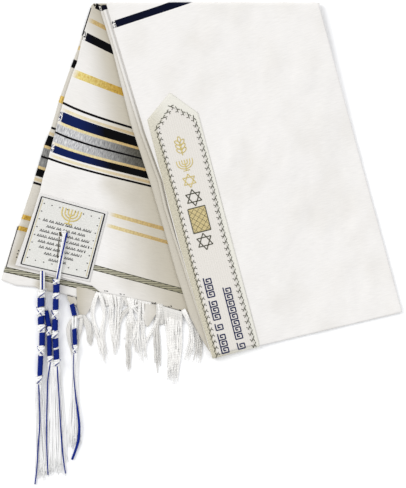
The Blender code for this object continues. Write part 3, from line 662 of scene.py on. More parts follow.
def painted_shade_reach(plan, high, low):
    """How far the painted shade beside the front arm reaches at plan points."""
    return mix(high, low, smooth((REACH_TOP - plan[..., 1]) / REACH_RUN))


def back_painted_shade(plan):
    """How much painted shade the back arm's outer layer has, most of all where it dips under the front arm.
    """
    near = smooth(1 - (from_strip(plan) - 2) / painted_shade_reach(plan, **GROUND_REACH))
    uneven = cloth_noise(plan, BACK_PAINTED_SHADE_CLOUDS) + 0.05
    return np.clip(near + (fold_height(plan, BACK_PAINTED_SHADE_STREAKS) + uneven) * (1 - near), 0, 1)


def back_yarn_painted_shade(plan):
    """How much painted shade the back arm's coloured yarns have, reaching further out than on the white
    ground.
    """
    reach = np.minimum(YARN_REACH_SCALE * painted_shade_reach(plan, **YARN_REACH), YARN_REACH_LIMIT)
    return smooth(1 - from_strip(plan) / reach)


def under_painted_shade(plan):
    """Painted shade on the layer under it: all along the sliver, and lower down most of all beside the patch.
    """
    away = edge_across(plan, BACK_LEFT) - plan[..., 0]
    beside = LOW_SHADE + BESIDE_SHADE * smooth(1 - (away - 4) / 16) * smooth((plan[..., 1] + 38) / 14)
    lower = smooth((66 - plan[..., 1]) / 50)
    return np.clip(mix(SLIVER_SHADE, beside, lower) + fold_height(plan, UNDER_PAINTED_SHADE_SPOTS), 0, 1)


def strip_painted_shade(plan, level):
    """Painted shade on the front arm's inner layers beside the neck band, more of it from the crease down."""
    high, low = STRIP_PAINTED_SHADES[level]
    return mix(high, low, smooth((235 - plan[..., 1]) / 120))


def front_painted_shade(plan):
    """Faint random clouds of painted shade in the front arm's white, standing in for the shade of soft folds.
    """
    return np.clip(0.03 + cloth_noise(plan, FRONT_PAINTED_SHADE_CLOUDS), 0, 0.3)


def settings():
    return bpy.context.scene.tallit


def keep(piece, slot, *nodes):
    """Puts a finished piece on the frame."""
    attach(piece, "root")
    if nodes:
        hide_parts(*nodes)
    return piece


def new_piece(name, points, faces, finish, uv, shade=None, yarn_painted_shade=None):
    """A smooth mesh piece from points in millimetres. uv has one pair for each point, in metres of cloth.

    shade says, for each point, how much painted shade dulls the cloth's white, as towards the fold it lies
    under, and the yarn shade says the same of its coloured yarns.
    """
    mesh = bpy.data.meshes.new(name)
    mesh.from_pydata((np.asarray(points, float) * MM).tolist(), [], faces)
    mesh.materials.append(finish)
    corners = np.zeros(len(mesh.loops), int)
    mesh.loops.foreach_get("vertex_index", corners)
    maps = {"cloth": uv}
    if shade is not None:
        maps["shade"] = np.stack([shade, shade if yarn_painted_shade is None else yarn_painted_shade], axis=1)
    for label, values in maps.items():
        layer = mesh.uv_layers.new(name=label)
        layer.uv.foreach_set("vector", np.asarray(values, np.float32)[corners].ravel())
    mesh.shade_smooth()
    piece = bpy.data.objects.new(name, mesh)
    bpy.context.scene.collection.objects.link(piece)
    return piece


def grid_faces(rows, columns):
    index = np.arange(rows * columns).reshape(rows, columns)
    corners = (index[:-1, :-1], index[1:, :-1], index[1:, 1:], index[:-1, 1:])
    return np.stack([c.ravel() for c in corners], axis=1).tolist()


def wall(piece, thickness):
    """Gives a sheet its thickness, on its upper side."""
    thick = piece.modifiers.new("wall", "SOLIDIFY")
    thick.thickness = thickness * MM
    thick.offset = 1.0
    return piece


def sheet_piece(name, plan, height, place, finish, thickness, shade=0.0, yarn_painted_shade=None):
    """A layer of cloth from a grid of plan points, heights and cloth places."""
    rows, columns = plan.shape[:2]
    points = np.concatenate([plan, height[..., None]], axis=-1).reshape(-1, 3)
    shade = np.broadcast_to(shade, (rows, columns)).ravel()
    if yarn_painted_shade is not None:
        yarn_painted_shade = yarn_painted_shade.ravel()
    faces = grid_faces(rows, columns)
    piece = new_piece(name, points, faces, finish, place.reshape(-1, 2), shade, yarn_painted_shade)
    return wall(piece, thickness)


def set_inputs(tree, node, inputs):
    """Links or sets a node's inputs."""
    for socket, source in inputs.items():
        if isinstance(source, bpy.types.NodeSocket):
            tree.links.new(source, node.inputs[socket])
        else:
            node.inputs[socket].default_value = source


def add(tree, kind, inputs=None, **values):
    """Adds a node, sets its values, and links or sets its inputs."""
    made = tree.nodes.new(kind)
    for name, value in values.items():
        setattr(made, name, value)
    set_inputs(tree, made, inputs or {})
    return made


def maths(tree, operation, *values, clamp=False):
    inputs = dict(enumerate(values))
    return add(tree, "ShaderNodeMath", inputs, operation=operation, use_clamp=clamp).outputs[0]


def contrast(tree, value, gain, offset):
    """Stretches a soft value to run from 0 to 1."""
    return maths(tree, "MULTIPLY_ADD", value, gain, offset, clamp=True)


def mixed(tree, share, a, b, blend="MIX"):
    """Mixes two colours."""
    inputs = {0: share}
    for socket, source in ((6, a), (7, b)):
        inputs[socket] = source if isinstance(source, bpy.types.NodeSocket) else (*source, 1.0)
    return add(tree, "ShaderNodeMix", inputs, data_type="RGBA", blend_type=blend).outputs[2]


def darkened(tree, colour, light):
    """A colour multiplied by one value."""
    even = add(tree, "ShaderNodeCombineXYZ", {k: light for k in range(3)}).outputs[0]
    return mixed(tree, 1.0, colour, even, "MULTIPLY")


def stretched_noise(tree, place, stretch, detail, roughness=0.5):
    """Noise that is drawn out along the threads. stretch is how fine it is across, along and up."""
    drawn = add(tree, "ShaderNodeVectorMath", {0: place, 1: stretch}, operation="MULTIPLY").outputs[0]
    inputs = {"Vector": drawn, "Scale": 1.0, "Detail": detail, "Roughness": roughness}
    return add(tree, "ShaderNodeTexNoise", inputs).outputs["Fac"]


def start_group(name, inputs, outputs):
    """A shader node group with named sockets, given as name and kind."""
    group = bpy.data.node_groups.new(name, "ShaderNodeTree")
    for label, kind in inputs:
        group.interface.new_socket(label, in_out="INPUT", socket_type=kind)
    for label, kind in outputs:
        group.interface.new_socket(label, in_out="OUTPUT", socket_type=kind)
    return group, group.nodes.new("NodeGroupInput"), group.nodes.new("NodeGroupOutput")


def weave_group():
    """Plain weave: over and under threads, with slubs. Height for a bump, and a faint shade."""
    if "Plain weave" in bpy.data.node_groups:
        return bpy.data.node_groups["Plain weave"]
    group, source, result = start_group(
        "Plain weave",
        [("Place", "NodeSocketVector"), ("Threads per metre", "NodeSocketFloat")],
        [("Height", "NodeSocketFloat"), ("Shade", "NodeSocketFloat")],
    )
    place = add(group, "ShaderNodeSeparateXYZ", {0: source.outputs["Place"]})
    waves = []
    for axis in (0, 1):
        turns = maths(group, "MULTIPLY", place.outputs[axis], source.outputs["Threads per metre"])
        waves.append(maths(group, "SINE", maths(group, "MULTIPLY", turns, math.pi)))
    crossing = maths(group, "MULTIPLY", waves[0], waves[1])
    slubs = stretched_noise(group, source.outputs["Place"], (90, 900, 1), 2.0)
    height = maths(group, "MULTIPLY_ADD", crossing, 0.5, slubs)
    shade = maths(group, "MULTIPLY_ADD", slubs, 0.16, 0.92)
    set_inputs(group, result, {"Height": height, "Shade": shade})
    return group


def stripe_ramp(tree, along, stripes, start, end):
    """A colour ramp that holds the yarn of each stripe: red is metal, green is dark, blue is grey."""
    share = add(tree, "ShaderNodeMapRange", {0: along, 1: start * MM, 2: end * MM}, clamp=True)
    ramp = add(tree, "ShaderNodeValToRGB", {0: share.outputs[0]})
    ramp.color_ramp.interpolation = "CONSTANT"
    stops = [(start, "white")]
    for stripe in stripes:
        if stops[-1][0] == stripe["start"]:
            stops.pop()
        stops += [(stripe["start"], stripe["yarn"]), (stripe["end"], "white")]
    elements = ramp.color_ramp.elements
    elements.remove(elements[1])
    elements[0].color = (*YARNS[stops[0][1]], 1.0)
    for place, yarn in stops[1:]:
        elements.new((place - start) / (end - start)).color = (*YARNS[yarn], 1.0)
    return ramp.outputs["Color"]


def new_material(name):
    """A material, with its node tree and its shader."""
    material = bpy.data.materials.new(name)
    material.use_nodes = True
    return material, material.node_tree, material.node_tree.nodes["Principled BSDF"]


def bump(tree, height, strength):
    inputs = {"Height": height, "Strength": strength, "Distance": BUMP_DEPTH}
    return add(tree, "ShaderNodeBump", inputs).outputs[0]


def woven_cloth(name, stripes, hidden_until=0.0):
    """White plain weave with woven stripes of dark, grey and metal yarn.

    hidden_until is how far across the cloth the corner patch hides the metal stripes beside it.
    """
    material, tree, shader = new_material(name)
    look = settings()
    place = add(tree, "ShaderNodeUVMap", uv_map="cloth").outputs[0]
    parts = add(tree, "ShaderNodeSeparateXYZ", {0: place})
    across, along = parts.outputs[0], parts.outputs[1]
    ragged = add(tree, "ShaderNodeTexNoise", {"Vector": place, "Scale": 900.0, "Detail": 1.0}).outputs["Fac"]
    along_ragged = maths(tree, "ADD", along, maths(tree, "MULTIPLY_ADD", ragged, RAGGED, -RAGGED / 2))
    code = (0.0, 0.0, 0.0)
    for start, end in STRIPE_ZONES:
        inside = [stripe for stripe in stripes if start <= stripe["start"] < end]
        if inside:
            code = mixed(tree, 1.0, code, stripe_ramp(tree, along_ragged, inside, start, end), "ADD")
    yarn = add(tree, "ShaderNodeSeparateColor", {0: code})
    coded_metal, dark, grey = yarn.outputs[0], yarn.outputs[1], yarn.outputs[2]

    # The stripes' threads turn back in the selvage, where they show as specks
    specks = add(tree, "ShaderNodeTexVoronoi", {"Vector": place, "Scale": 620.0}).outputs["Distance"]
    in_selvage = maths(tree, "LESS_THAN", across, look.selvage)
    gaps = maths(tree, "MULTIPLY", in_selvage, maths(tree, "GREATER_THAN", specks, 0.5))
    gaps = maths(tree, "MULTIPLY", gaps, maths(tree, "GREATER_THAN", dark, SPECKED_YARN))
    dark = maths(tree, "MULTIPLY", dark, maths(tree, "SUBTRACT", 1.0, gaps), clamp=True)

    # Metal thread starts a little way in from the selvage, or beyond the patch
    from_patch = maths(tree, "ABSOLUTE", maths(tree, "SUBTRACT", along, PATCH_MIDDLE))
    hidden = maths(tree, "MULTIPLY", maths(tree, "LESS_THAN", from_patch, PATCH_HALF), hidden_until * MM)
    shown = maths(tree, "DIVIDE", maths(tree, "SUBTRACT", across, hidden), 2.2 * look.selvage)
    metal = maths(tree, "MULTIPLY", coded_metal, maths(tree, "ADD", shown, 0.1, clamp=True))

    # The shade map holds painted shade. Its first value dulls the white ground and the braid's ground, and
    # its second darkens the grey, gold and navy yarns, most near the fold the cloth lies under
    shades = add(tree, "ShaderNodeSeparateXYZ", {0: add(tree, "ShaderNodeUVMap", uv_map="shade").outputs[0]})
    shade, yarn_painted_shade = shades.outputs[0], shades.outputs[1]
    heather = stretched_noise(tree, place, (900, 130, 1), 3.0, 0.75)
    lighter = mixed(tree, yarn_painted_shade, look.grey_light, look.grey_light_painted_shade)
    darker = mixed(tree, yarn_painted_shade, look.grey_yarn, look.grey_dark_painted_shade)
    heather_colour = mixed(tree, contrast(tree, heather, *HEATHER_CONTRAST), darker, lighter)
    glitter = stretched_noise(tree, place, (420, 260, 1), 4.0, 0.8)
    bright = mixed(tree, yarn_painted_shade, look.gold, look.gold_dark_and_painted_shade)
    deep = mixed(tree, yarn_painted_shade, look.gold_dark_and_painted_shade, look.gold_painted_shade)
    gold = mixed(tree, contrast(tree, glitter, *GLITTER_CONTRAST), deep, bright)
    # Painted shade turns navy yarn black sooner than it darkens the other yarns
    navy_painted_shade = maths(tree, "MULTIPLY", yarn_painted_shade, NAVY_PAINTED_SHADE_GAIN, clamp=True)
    navy = mixed(tree, navy_painted_shade, look.navy_yarn, look.black_yarn)
    blue = mixed(tree, contrast(tree, dark, *NAVY_CONTRAST), look.black_yarn, navy)

    weave = add(tree, "ShaderNodeGroup", node_tree=weave_group())
    set_inputs(tree, weave, {"Place": place, "Threads per metre": look.threads_per_metre})
    white = mixed(tree, shade, look.white_cloth, look.white_painted_shade)
    colour = mixed(tree, grey, darkened(tree, white, weave.outputs["Shade"]), heather_colour)
    colour = mixed(tree, metal, colour, gold)
    colour = mixed(tree, maths(tree, "GREATER_THAN", dark, 0.5), colour, blue)

    # The braided stripe: slanting dark threads over gold
    slant = maths(tree, "SUBTRACT", maths(tree, "MULTIPLY", across, 2 * math.pi / BRAID_ACROSS),
                  maths(tree, "MULTIPLY", along, 2 * math.pi / BRAID_ALONG))
    strokes = maths(tree, "GREATER_THAN", maths(tree, "SINE", slant), 0.0)
    strokes = maths(tree, "MAXIMUM", strokes, maths(tree, "GREATER_THAN", grey, 0.7))
    both = maths(tree, "GREATER_THAN", maths(tree, "MINIMUM", coded_metal, grey), 0.4)
    # The braid's ground takes painted shade too
    braid = mixed(tree, strokes, mixed(tree, shade, look.braid_ground, look.braid_painted_shade), look.olive_thread)
    set_inputs(tree, shader, {
        "Base Color": mixed(tree, both, colour, braid),
        "Roughness": maths(tree, "MULTIPLY_ADD", metal, -0.42, 0.86),
        "Metallic": maths(tree, "MULTIPLY", metal, 0.45),
        "Sheen Weight": 0.02,
        "Sheen Roughness": 0.5,
        "Specular IOR Level": 0.08,
        "Normal": bump(tree, weave.outputs["Height"], 0.35),
    })
    return material


def plain_finish(name, colour, roughness, metallic=0.0, rib=None, twist=0.002, uneven_by=0.12, sheen=0.15,
                 rib_depth=0.04, painted_shade_left=None):
    """A one-colour thread or ribbed cloth, with fine unevenness in its colour and a bump of its own.

    colour names a setting, and so does the last argument: the painted shade at the left edge of a band, which
    fades towards its right edge.
    """
    material, tree, shader = new_material(name)
    base = getattr(settings(), colour)
    place = add(tree, "ShaderNodeUVMap", uv_map="cloth").outputs[0]
    uneven = add(tree, "ShaderNodeTexNoise", {"Vector": place, "Scale": 600.0, "Detail": 3.0}).outputs["Fac"]
    darker = [(1 - uneven_by) * part for part in base]
    shade = mixed(tree, contrast(tree, uneven, *THREAD_CONTRAST), darker, base)
    parts = add(tree, "ShaderNodeSeparateXYZ", {0: place})
    across, along = parts.outputs[0], parts.outputs[1]
    # Painted shade along the band's left edge, speckled, which fades towards its right edge and its point
    if painted_shade_left:
        dull = getattr(settings(), painted_shade_left)
        from_left = contrast(tree, across, 1 / PAINTED_SHADE_WIDTH, PAINTED_SHADE_START)
        to_point = contrast(tree, along, 1 / POINT_RUN, -POINT_FROM / POINT_RUN)
        from_left = maths(tree, "ADD", from_left, maths(tree, "MULTIPLY", to_point, POINT_LIGHT), clamp=True)
        specks = contrast(tree, uneven, *SPECKLE_CONTRAST)
        speckled = mixed(tree, specks, [0.72 * part for part in dull], dull)
        shade = mixed(tree, from_left, speckled, shade)
    if rib:
        wave = maths(tree, "SINE", maths(tree, "MULTIPLY", across, 2 * math.pi / rib))
        shade = darkened(tree, shade, maths(tree, "MULTIPLY_ADD", wave, -rib_depth / 2, 1 - rib_depth / 2))
    else:
        turn = maths(tree, "ADD", maths(tree, "MULTIPLY", across, 2 * math.pi / twist),
                     maths(tree, "MULTIPLY", along, 4 * math.pi))
        wave = maths(tree, "SINE", turn)
    set_inputs(tree, shader, {
        "Base Color": shade,
        "Roughness": roughness,
        "Metallic": metallic,
        "Sheen Weight": sheen,
        "Specular IOR Level": 0.3 if sheen > 0.1 else 0.1,
        "Normal": bump(tree, wave, 0.5),
    })
    return material


def finish_of(name):
    """The scene's materials, each made once."""
    found = bpy.data.materials.get(name)
    if found:
        return found
    if name in WOVEN_FINISHES:
        return woven_cloth(name, **WOVEN_FINISHES[name])
    return plain_finish(name, **PLAIN_FINISHES[name])


def tube_points(path, radius, sides, flat=1.0):
    """Rings of points round a path, and the length along it at each ring."""
    path = np.asarray(path, float)
    ahead = np.gradient(path, axis=0)
    ahead /= np.maximum(np.linalg.norm(ahead, axis=1, keepdims=True), 1e-9)
    side = np.cross(ahead, (0.0, 0.0, 1.0))
    weak = np.linalg.norm(side, axis=1) < 1e-3
    side[weak] = (1.0, 0.0, 0.0)
    side /= np.linalg.norm(side, axis=1, keepdims=True)
    up = np.cross(side, ahead)
    turn = 2 * math.pi * np.arange(sides) / sides
    radius = np.broadcast_to(np.asarray(radius, float), (len(path),))[:, None, None]
    ring = np.cos(turn)[None, :, None] * side[:, None] + flat * np.sin(turn)[None, :, None] * up[:, None]
    return path[:, None] + radius * ring, lengths_along(path)


def tubes_piece(name, tubes, finish, sides=6):
    """One piece of many closed tubes. Each tube is a dict with path, radius and, if pressed flat, flat."""
    points, faces, uv = [], [], []
    first = 0
    for tube in tubes:
        rings, length = tube_points(tube["path"], tube["radius"], sides, tube.get("flat", 1.0))
        count = len(rings)
        points.append(rings.reshape(-1, 3))
        u = np.repeat(length * MM, sides)
        v = np.tile(np.arange(sides) / sides, count)
        uv.append(np.stack([u, v], axis=1))
        index = first + np.arange(count * sides).reshape(count, sides)
        following = np.roll(index, -1, axis=1)
        sides_of = np.stack([index[:-1], following[:-1], following[1:], index[1:]], axis=-1).reshape(-1, 4)
        faces += sides_of.tolist()
        faces.append(index[0][::-1].tolist())
        faces.append(index[-1].tolist())
        first += count * sides
    return new_piece(name, np.concatenate(points), faces, finish, np.concatenate(uv))


def smooth_path(points, count):
    """A bent line of given points, made round."""
    path = resample(points, np.linspace(0, 1, count))
    for _ in range(4):
        path[1:-1] = (path[:-2] + 2 * path[1:-1] + path[2:]) / 4
    return path


def in_space(plan, height):
    return np.concatenate([plan, np.asarray(height, float)[..., None]], axis=-1)


def band_plan(places):
    """Plan points of places on the band, given across it and up from its foot."""
    places = np.asarray(places, float)
    return BAND_FOOT + places[..., :1] * BAND_ACROSS + places[..., 1:] * BAND_ALONG


def on_band(places, lift):
    plan = band_plan(places)
    return in_space(plan, front_height(plan) + 2 * SHEET_WALL + lift)


def patch_plan(places):
    """Plan points of places on the patch, given as shares of its dark border's width and height."""
    places = np.asarray(places, float)
    s, t = places[..., :1], places[..., 1:]
    a, b, c, d = np.array(PATCH_BORDER)
    return (1 - s) * (1 - t) * a + s * (1 - t) * b + s * t * c + (1 - s) * t * d


def patch_top(plan):
    """Height of the patch's upper face at plan points."""
    return back_height(plan) + SHEET_WALL + PATCH_LIFT + PATCH_WALL


def on_patch(places, lift):
    plan = patch_plan(places)
    return in_space(plan, patch_top(plan) + lift)


def coil(path, radius, cord, pitch, start=0.0, tilt=0.0):
    """A cord wound round a path, its turns tilted up to the right by tilt."""
    path = np.asarray(path, float)
    length = np.linalg.norm(np.diff(path, axis=0), axis=1).sum()
    turns = max(length / pitch, 1.0)
    shares = np.linspace(0, 1, int(turns * 14) + 2)
    centre = resample(path, shares)
    angle = 2 * math.pi * turns * shares + start
    wide = np.interp(shares, np.linspace(0, 1, len(np.atleast_1d(radius))), np.atleast_1d(radius))
    offset = np.stack([np.cos(angle), tilt * np.cos(angle), np.sin(angle)], axis=1) * wide[:, None]
    return dict(path=centre + offset, radius=cord)


class BackArm(bpy.types.Operator):
    """Makes the back arm: the striped layer that shows, and the layers under it"""

    bl_idname = "tallit.back_arm"
    bl_label = "Back Arm"

    def execute(self, context):
        crease = [BACK_LEFT[0], BACK_RIGHT[0]]
        plan = fill_between(crease, BACK_HEM, BACK_LEFT, BACK_RIGHT, rows=240, columns=150)
        place = WeftRows(BACK_LEFT, BACK_ROWS, BACK_HEM_Y).cloth_place(plan[..., 0], plan[..., 1])
        finish = finish_of("striped cloth")
        top = sheet_piece("back_cloth", plan, back_height(plan), place, finish, SHEET_WALL, back_painted_shade(plan),
                          back_yarn_painted_shade(plan))
        keep(top, "white_cloth", "back_outer_layer")
        names = ("back_cloth_low", "back_cloth_middle", "back_cloth_under")
        weft = WeftRows(UNDER_LEFT, UNDER_ROWS, UNDER_HEM_Y)
        for level, (name, inward) in enumerate(zip(names, UNDER_INSETS)):
            left = [(x + inward, y) for x, y in UNDER_LEFT]
            hem = [(x, y + inward) for x, y in UNDER_HEM]
            hem[0] = left[-1] = (left[-1][0], hem[0][1])
            plan = fill_between([left[0], UNDER_RIGHT[0]], hem, left, UNDER_RIGHT, rows=150, columns=70)
            height = np.full(plan.shape[:-1], UNDER_FOOT + level * PLY_STEP)
            place = weft.cloth_place(plan[..., 0], plan[..., 1]) + (FOLDED_EDGE * MM, 0)
            place[..., 1] += DRAWN_OUT * np.maximum(place[..., 1] - DRAWN_OUT_FROM * MM, 0)
            finish = finish_of("under cloth")
            piece = sheet_piece(name, plan, height, place, finish, PLY_WALL, under_painted_shade(plan))
            keep(piece, "white_cloth", *(["back_inner_layers"] if level == 2 else []))
        for name, part in HANGING.items():
            plan = fill_between(part["top"], part["bottom"], part["left"], part["right"], rows=24, columns=20)
            down = smooth((part["top"][0][1] - HANGING_FROM - plan[..., 1]) / HANGING_RUN)
            height = mix(UNDER_TOP + 0.5, HANGING_FOOT, down) + cloth_noise(plan, HANGING_WAVES)
            place = plan * MM + PLAIN_PLACE
            # Painted shade across each hanging piece, from its left side to its right
            shade = np.linspace(*part["shade"], plan.shape[1])[None, :]
            piece = sheet_piece(name, plan, height, place, finish_of("front cloth"), PLY_WALL, shade)
            keep(piece, "white_cloth")
        edge = smooth_path(UNDER_PATCH_LINE, 20)
        lines = [dict(path=in_space(edge, np.full(20, UNDER_TOP + 0.1)), radius=0.55)]
        # A dark thread along the top of the hanging fold, where it turns under the hem, is painted shade
        turned = np.array([(x, y, UNDER_TOP + 1.2) for x, y in HANGING["hanging_fold"]["top"]])
        lines.append(dict(path=resample(turned, np.linspace(0, 0.7, 6)), radius=0.5))
        for x, y in UNDER_PATCH_DOTS:
            dot = np.array([(x, y, UNDER_TOP + 0.1), (x + 1.2, y - 1.0, UNDER_TOP + 0.1)])
            lines.append(dict(path=dot, radius=0.75, flat=0.6))
        keep(tubes_piece("under_patch_line_and_painted_fold_shade", lines, finish_of("dark thread")), "patch_cloth")
        return {"FINISHED"}


def fold_rings(plan, top, foot, bulge, steps):
    """Rings of points where cloth turns down and under along a line of plan points that runs clockwise."""
    outward = directions(plan)[1]
    middle, half = (top + foot) / 2, (top - foot) / 2
    rings = []
    for angle in np.linspace(0, math.radians(160), steps + 1)[1:]:
        out = plan + outward * (bulge * math.sin(angle))[:, None]
        rings.append(np.concatenate([out, (middle + half * math.cos(angle))[:, None]], axis=1))
    return rings


def crowded_columns(width, close, count):
    """Shares of a width, with places close to its left edge given in millimetres."""
    close = np.asarray(close) / width
    return np.concatenate([close, np.linspace(close[-1], 1, count)[1:]])


class FrontArm(bpy.types.Operator):
    """Makes the front arm: the layer that shows, turned under at three folds, and the layers inside it"""

    bl_idname = "tallit.front_arm"
    bl_label = "Front Arm"

    def execute(self, context):
        shares = crowded_columns(FRONT_WIDTH, FRONT_CLOSE_COLUMNS, 125)
        rows, columns = 210, len(shares)
        plan = fill_between(FRONT_CREASE, FRONT_END, FRONT_LEFT, FRONT_RIGHT, rows, shares)
        curl = EDGE_CURL * smooth(1 - shares * FRONT_WIDTH / EDGE_CURL_RUN) * open_edge(plan)
        height = front_height(plan) + curl
        weft = WeftRows(FRONT_LEFT, FRONT_ROWS, FRONT_END_Y)
        points = np.concatenate([plan, height[..., None]], axis=-1).reshape(-1, 3)
        faces = grid_faces(rows, columns)
        index = np.arange(rows * columns).reshape(rows, columns)
        # The edge that turns under, clockwise: along the crease, down the right and back along the end
        walk = np.concatenate([index[0], index[1:, -1], index[-1, -2::-1]])
        edge = points[walk]
        base = front_underside(edge[:, :2])
        at_crease = np.arange(len(walk)) < columns
        foot = np.where(at_crease, FOLD_FOOT, base + FOLD_FOOT)
        bulge = np.where(at_crease, CREASE_BULGE, SIDE_BULGE)
        rings = fold_rings(edge[:, :2], edge[:, 2], foot, bulge, 8)
        points = np.concatenate([points, *rings])
        previous = walk
        for k in range(len(rings)):
            current = rows * columns + k * len(walk) + np.arange(len(walk))
            faces += np.stack([previous[:-1], previous[1:], current[1:], current[:-1]], axis=1).tolist()
            previous = current
        place = weft.cloth_place(points[:, 0], points[:, 1])
        shade = front_painted_shade(points[:, :2])
        piece = new_piece("front_cloth", points, faces, finish_of("front cloth"), place, shade)
        wall(piece, SHEET_WALL)
        keep(piece, "white_cloth", "front_outer_layer")

        names = ("front_cloth_low", "front_cloth_middle", "front_cloth_under")
        for level, (name, shift) in enumerate(zip(names, STRIP_INSETS)):
            left = [(x + shift, y) for x, y in STRIP_LEFT]
            shares = np.linspace(0, 1, 70)
            if level == 2:
                outs = [mix(RIDGE_OUT, RIDGE_OUT_LOW, float(smooth((60 - y) / 80))) for x, y in FRONT_LEFT]
                left = [(x - out, y) for out, (x, y) in zip(outs, FRONT_LEFT)]
                left[-1] = RIDGE_FOOT
                shares = crowded_columns(FRONT_WIDTH, [place for place, height in RIDGE_PROFILE], 60)
            ends = [[left[row], INNER_RIGHT[row]] for row in (0, -1)]
            plan = fill_between(*ends, left, INNER_RIGHT, 150, shares)
            height = front_underside(plan) + STRIP_LIFT + level * PLY_STEP
            if level == 2:
                near = np.interp(shares * FRONT_WIDTH, *np.array(RIDGE_PROFILE).T)
                near = np.maximum(near, 0) + np.minimum(near, 0) * open_edge(plan)
                height = height + near * smooth((plan[..., 1] + 140) / 120)
            place = weft.cloth_place(plan[..., 0], plan[..., 1]) + (FOLDED_EDGE * MM, -INNER_SHIFT * MM)
            piece = sheet_piece(name, plan, height, place, finish_of("front cloth"), PLY_WALL,
                                strip_painted_shade(plan, level))
            keep(piece, "white_cloth", *(["front_inner_layers"] if level == 2 else []))
        return {"FINISHED"}


def star(middle, size):
    """The two triangles of a six-pointed star."""
    lines = []
    for first in (90, -90):
        corners = [math.radians(first + 120 * k) for k in range(4)]
        lines.append([(middle[0] + size * math.cos(a), middle[1] + size * math.sin(a)) for a in corners])
    return lines


def lamp(middle, width, height):
    """Strokes of a plain seven-branched lamp: nested arms, a stem and a foot."""
    lines = []
    x, y = middle
    top, foot = y + height / 2, y - height / 2
    for share in (1.0, 0.66, 0.33):
        reach = share * width / 2
        arm = [(x - reach, top)]
        for angle in np.linspace(math.pi, 2 * math.pi, 13):
            arm.append((x + reach * math.cos(angle), y + height / 4 + reach * 0.8 * math.sin(angle)))
        lines.append([*arm, (x + reach, top)])
    lines.append([(x, top), (x, foot)])
    lines.append([(x - width / 5, foot), (x + width / 5, foot)])
    return lines


def leaf(root, angle, length):
    """A leaf's outline as one stroke that starts and ends at its root."""
    along = np.array((math.cos(angle), math.sin(angle)))
    beside = np.array((-along[1], along[0]))
    turn = np.linspace(0, 2 * math.pi, 13)
    reach = length * (1 - np.cos(turn)) / 2
    width = 0.26 * length * np.sin(turn)
    return [tuple(np.array(root) + r * along + w * beside) for r, w in zip(reach, width)]


def sprig(middle, height):
    """A stem with pairs of leaves."""
    foot = (middle[0], middle[1] - height / 2)
    lines = [[foot, (middle[0], middle[1] + height / 4)]]
    for k in range(3):
        root = (middle[0], foot[1] + height * (0.16 + 0.24 * k))
        lines += [leaf(root, math.radians(side), height * 0.36) for side in (42, 138)]
    lines.append(leaf((middle[0], middle[1] + height / 4), math.pi / 2, height * 0.34))
    return lines


def key_row(across, start, hooks):
    """A fret of hooks on one long line."""
    base = across - KEY_HEIGHT / 2
    lines = [[(base, start), (base, start + hooks * KEY_UNIT)]]
    for k in range(hooks):
        foot = start + k * KEY_UNIT
        lines.append([(across + KEY_HEIGHT * (a - 0.5), foot + KEY_UNIT * b) for a, b in KEY_HOOK])
    return lines


def strokes_piece(name, lines, surface, lift, radius, thread, flat=0.6):
    """Threads laid along strokes on a surface."""
    tubes = []
    for line in lines:
        line = np.asarray(line, float)
        length = np.linalg.norm(np.diff(surface(line, 0)[:, :2], axis=0), axis=1).sum()
        shares = np.linspace(0, 1, max(len(line), int(length / STROKE_STEP) + 2))
        corners = lengths_along(line)
        shares = np.unique(np.concatenate([shares, corners / corners[-1]]))
        tubes.append(dict(path=surface(resample(line, shares), lift), radius=radius, flat=flat))
    return tubes_piece(name, tubes, finish_of(thread))


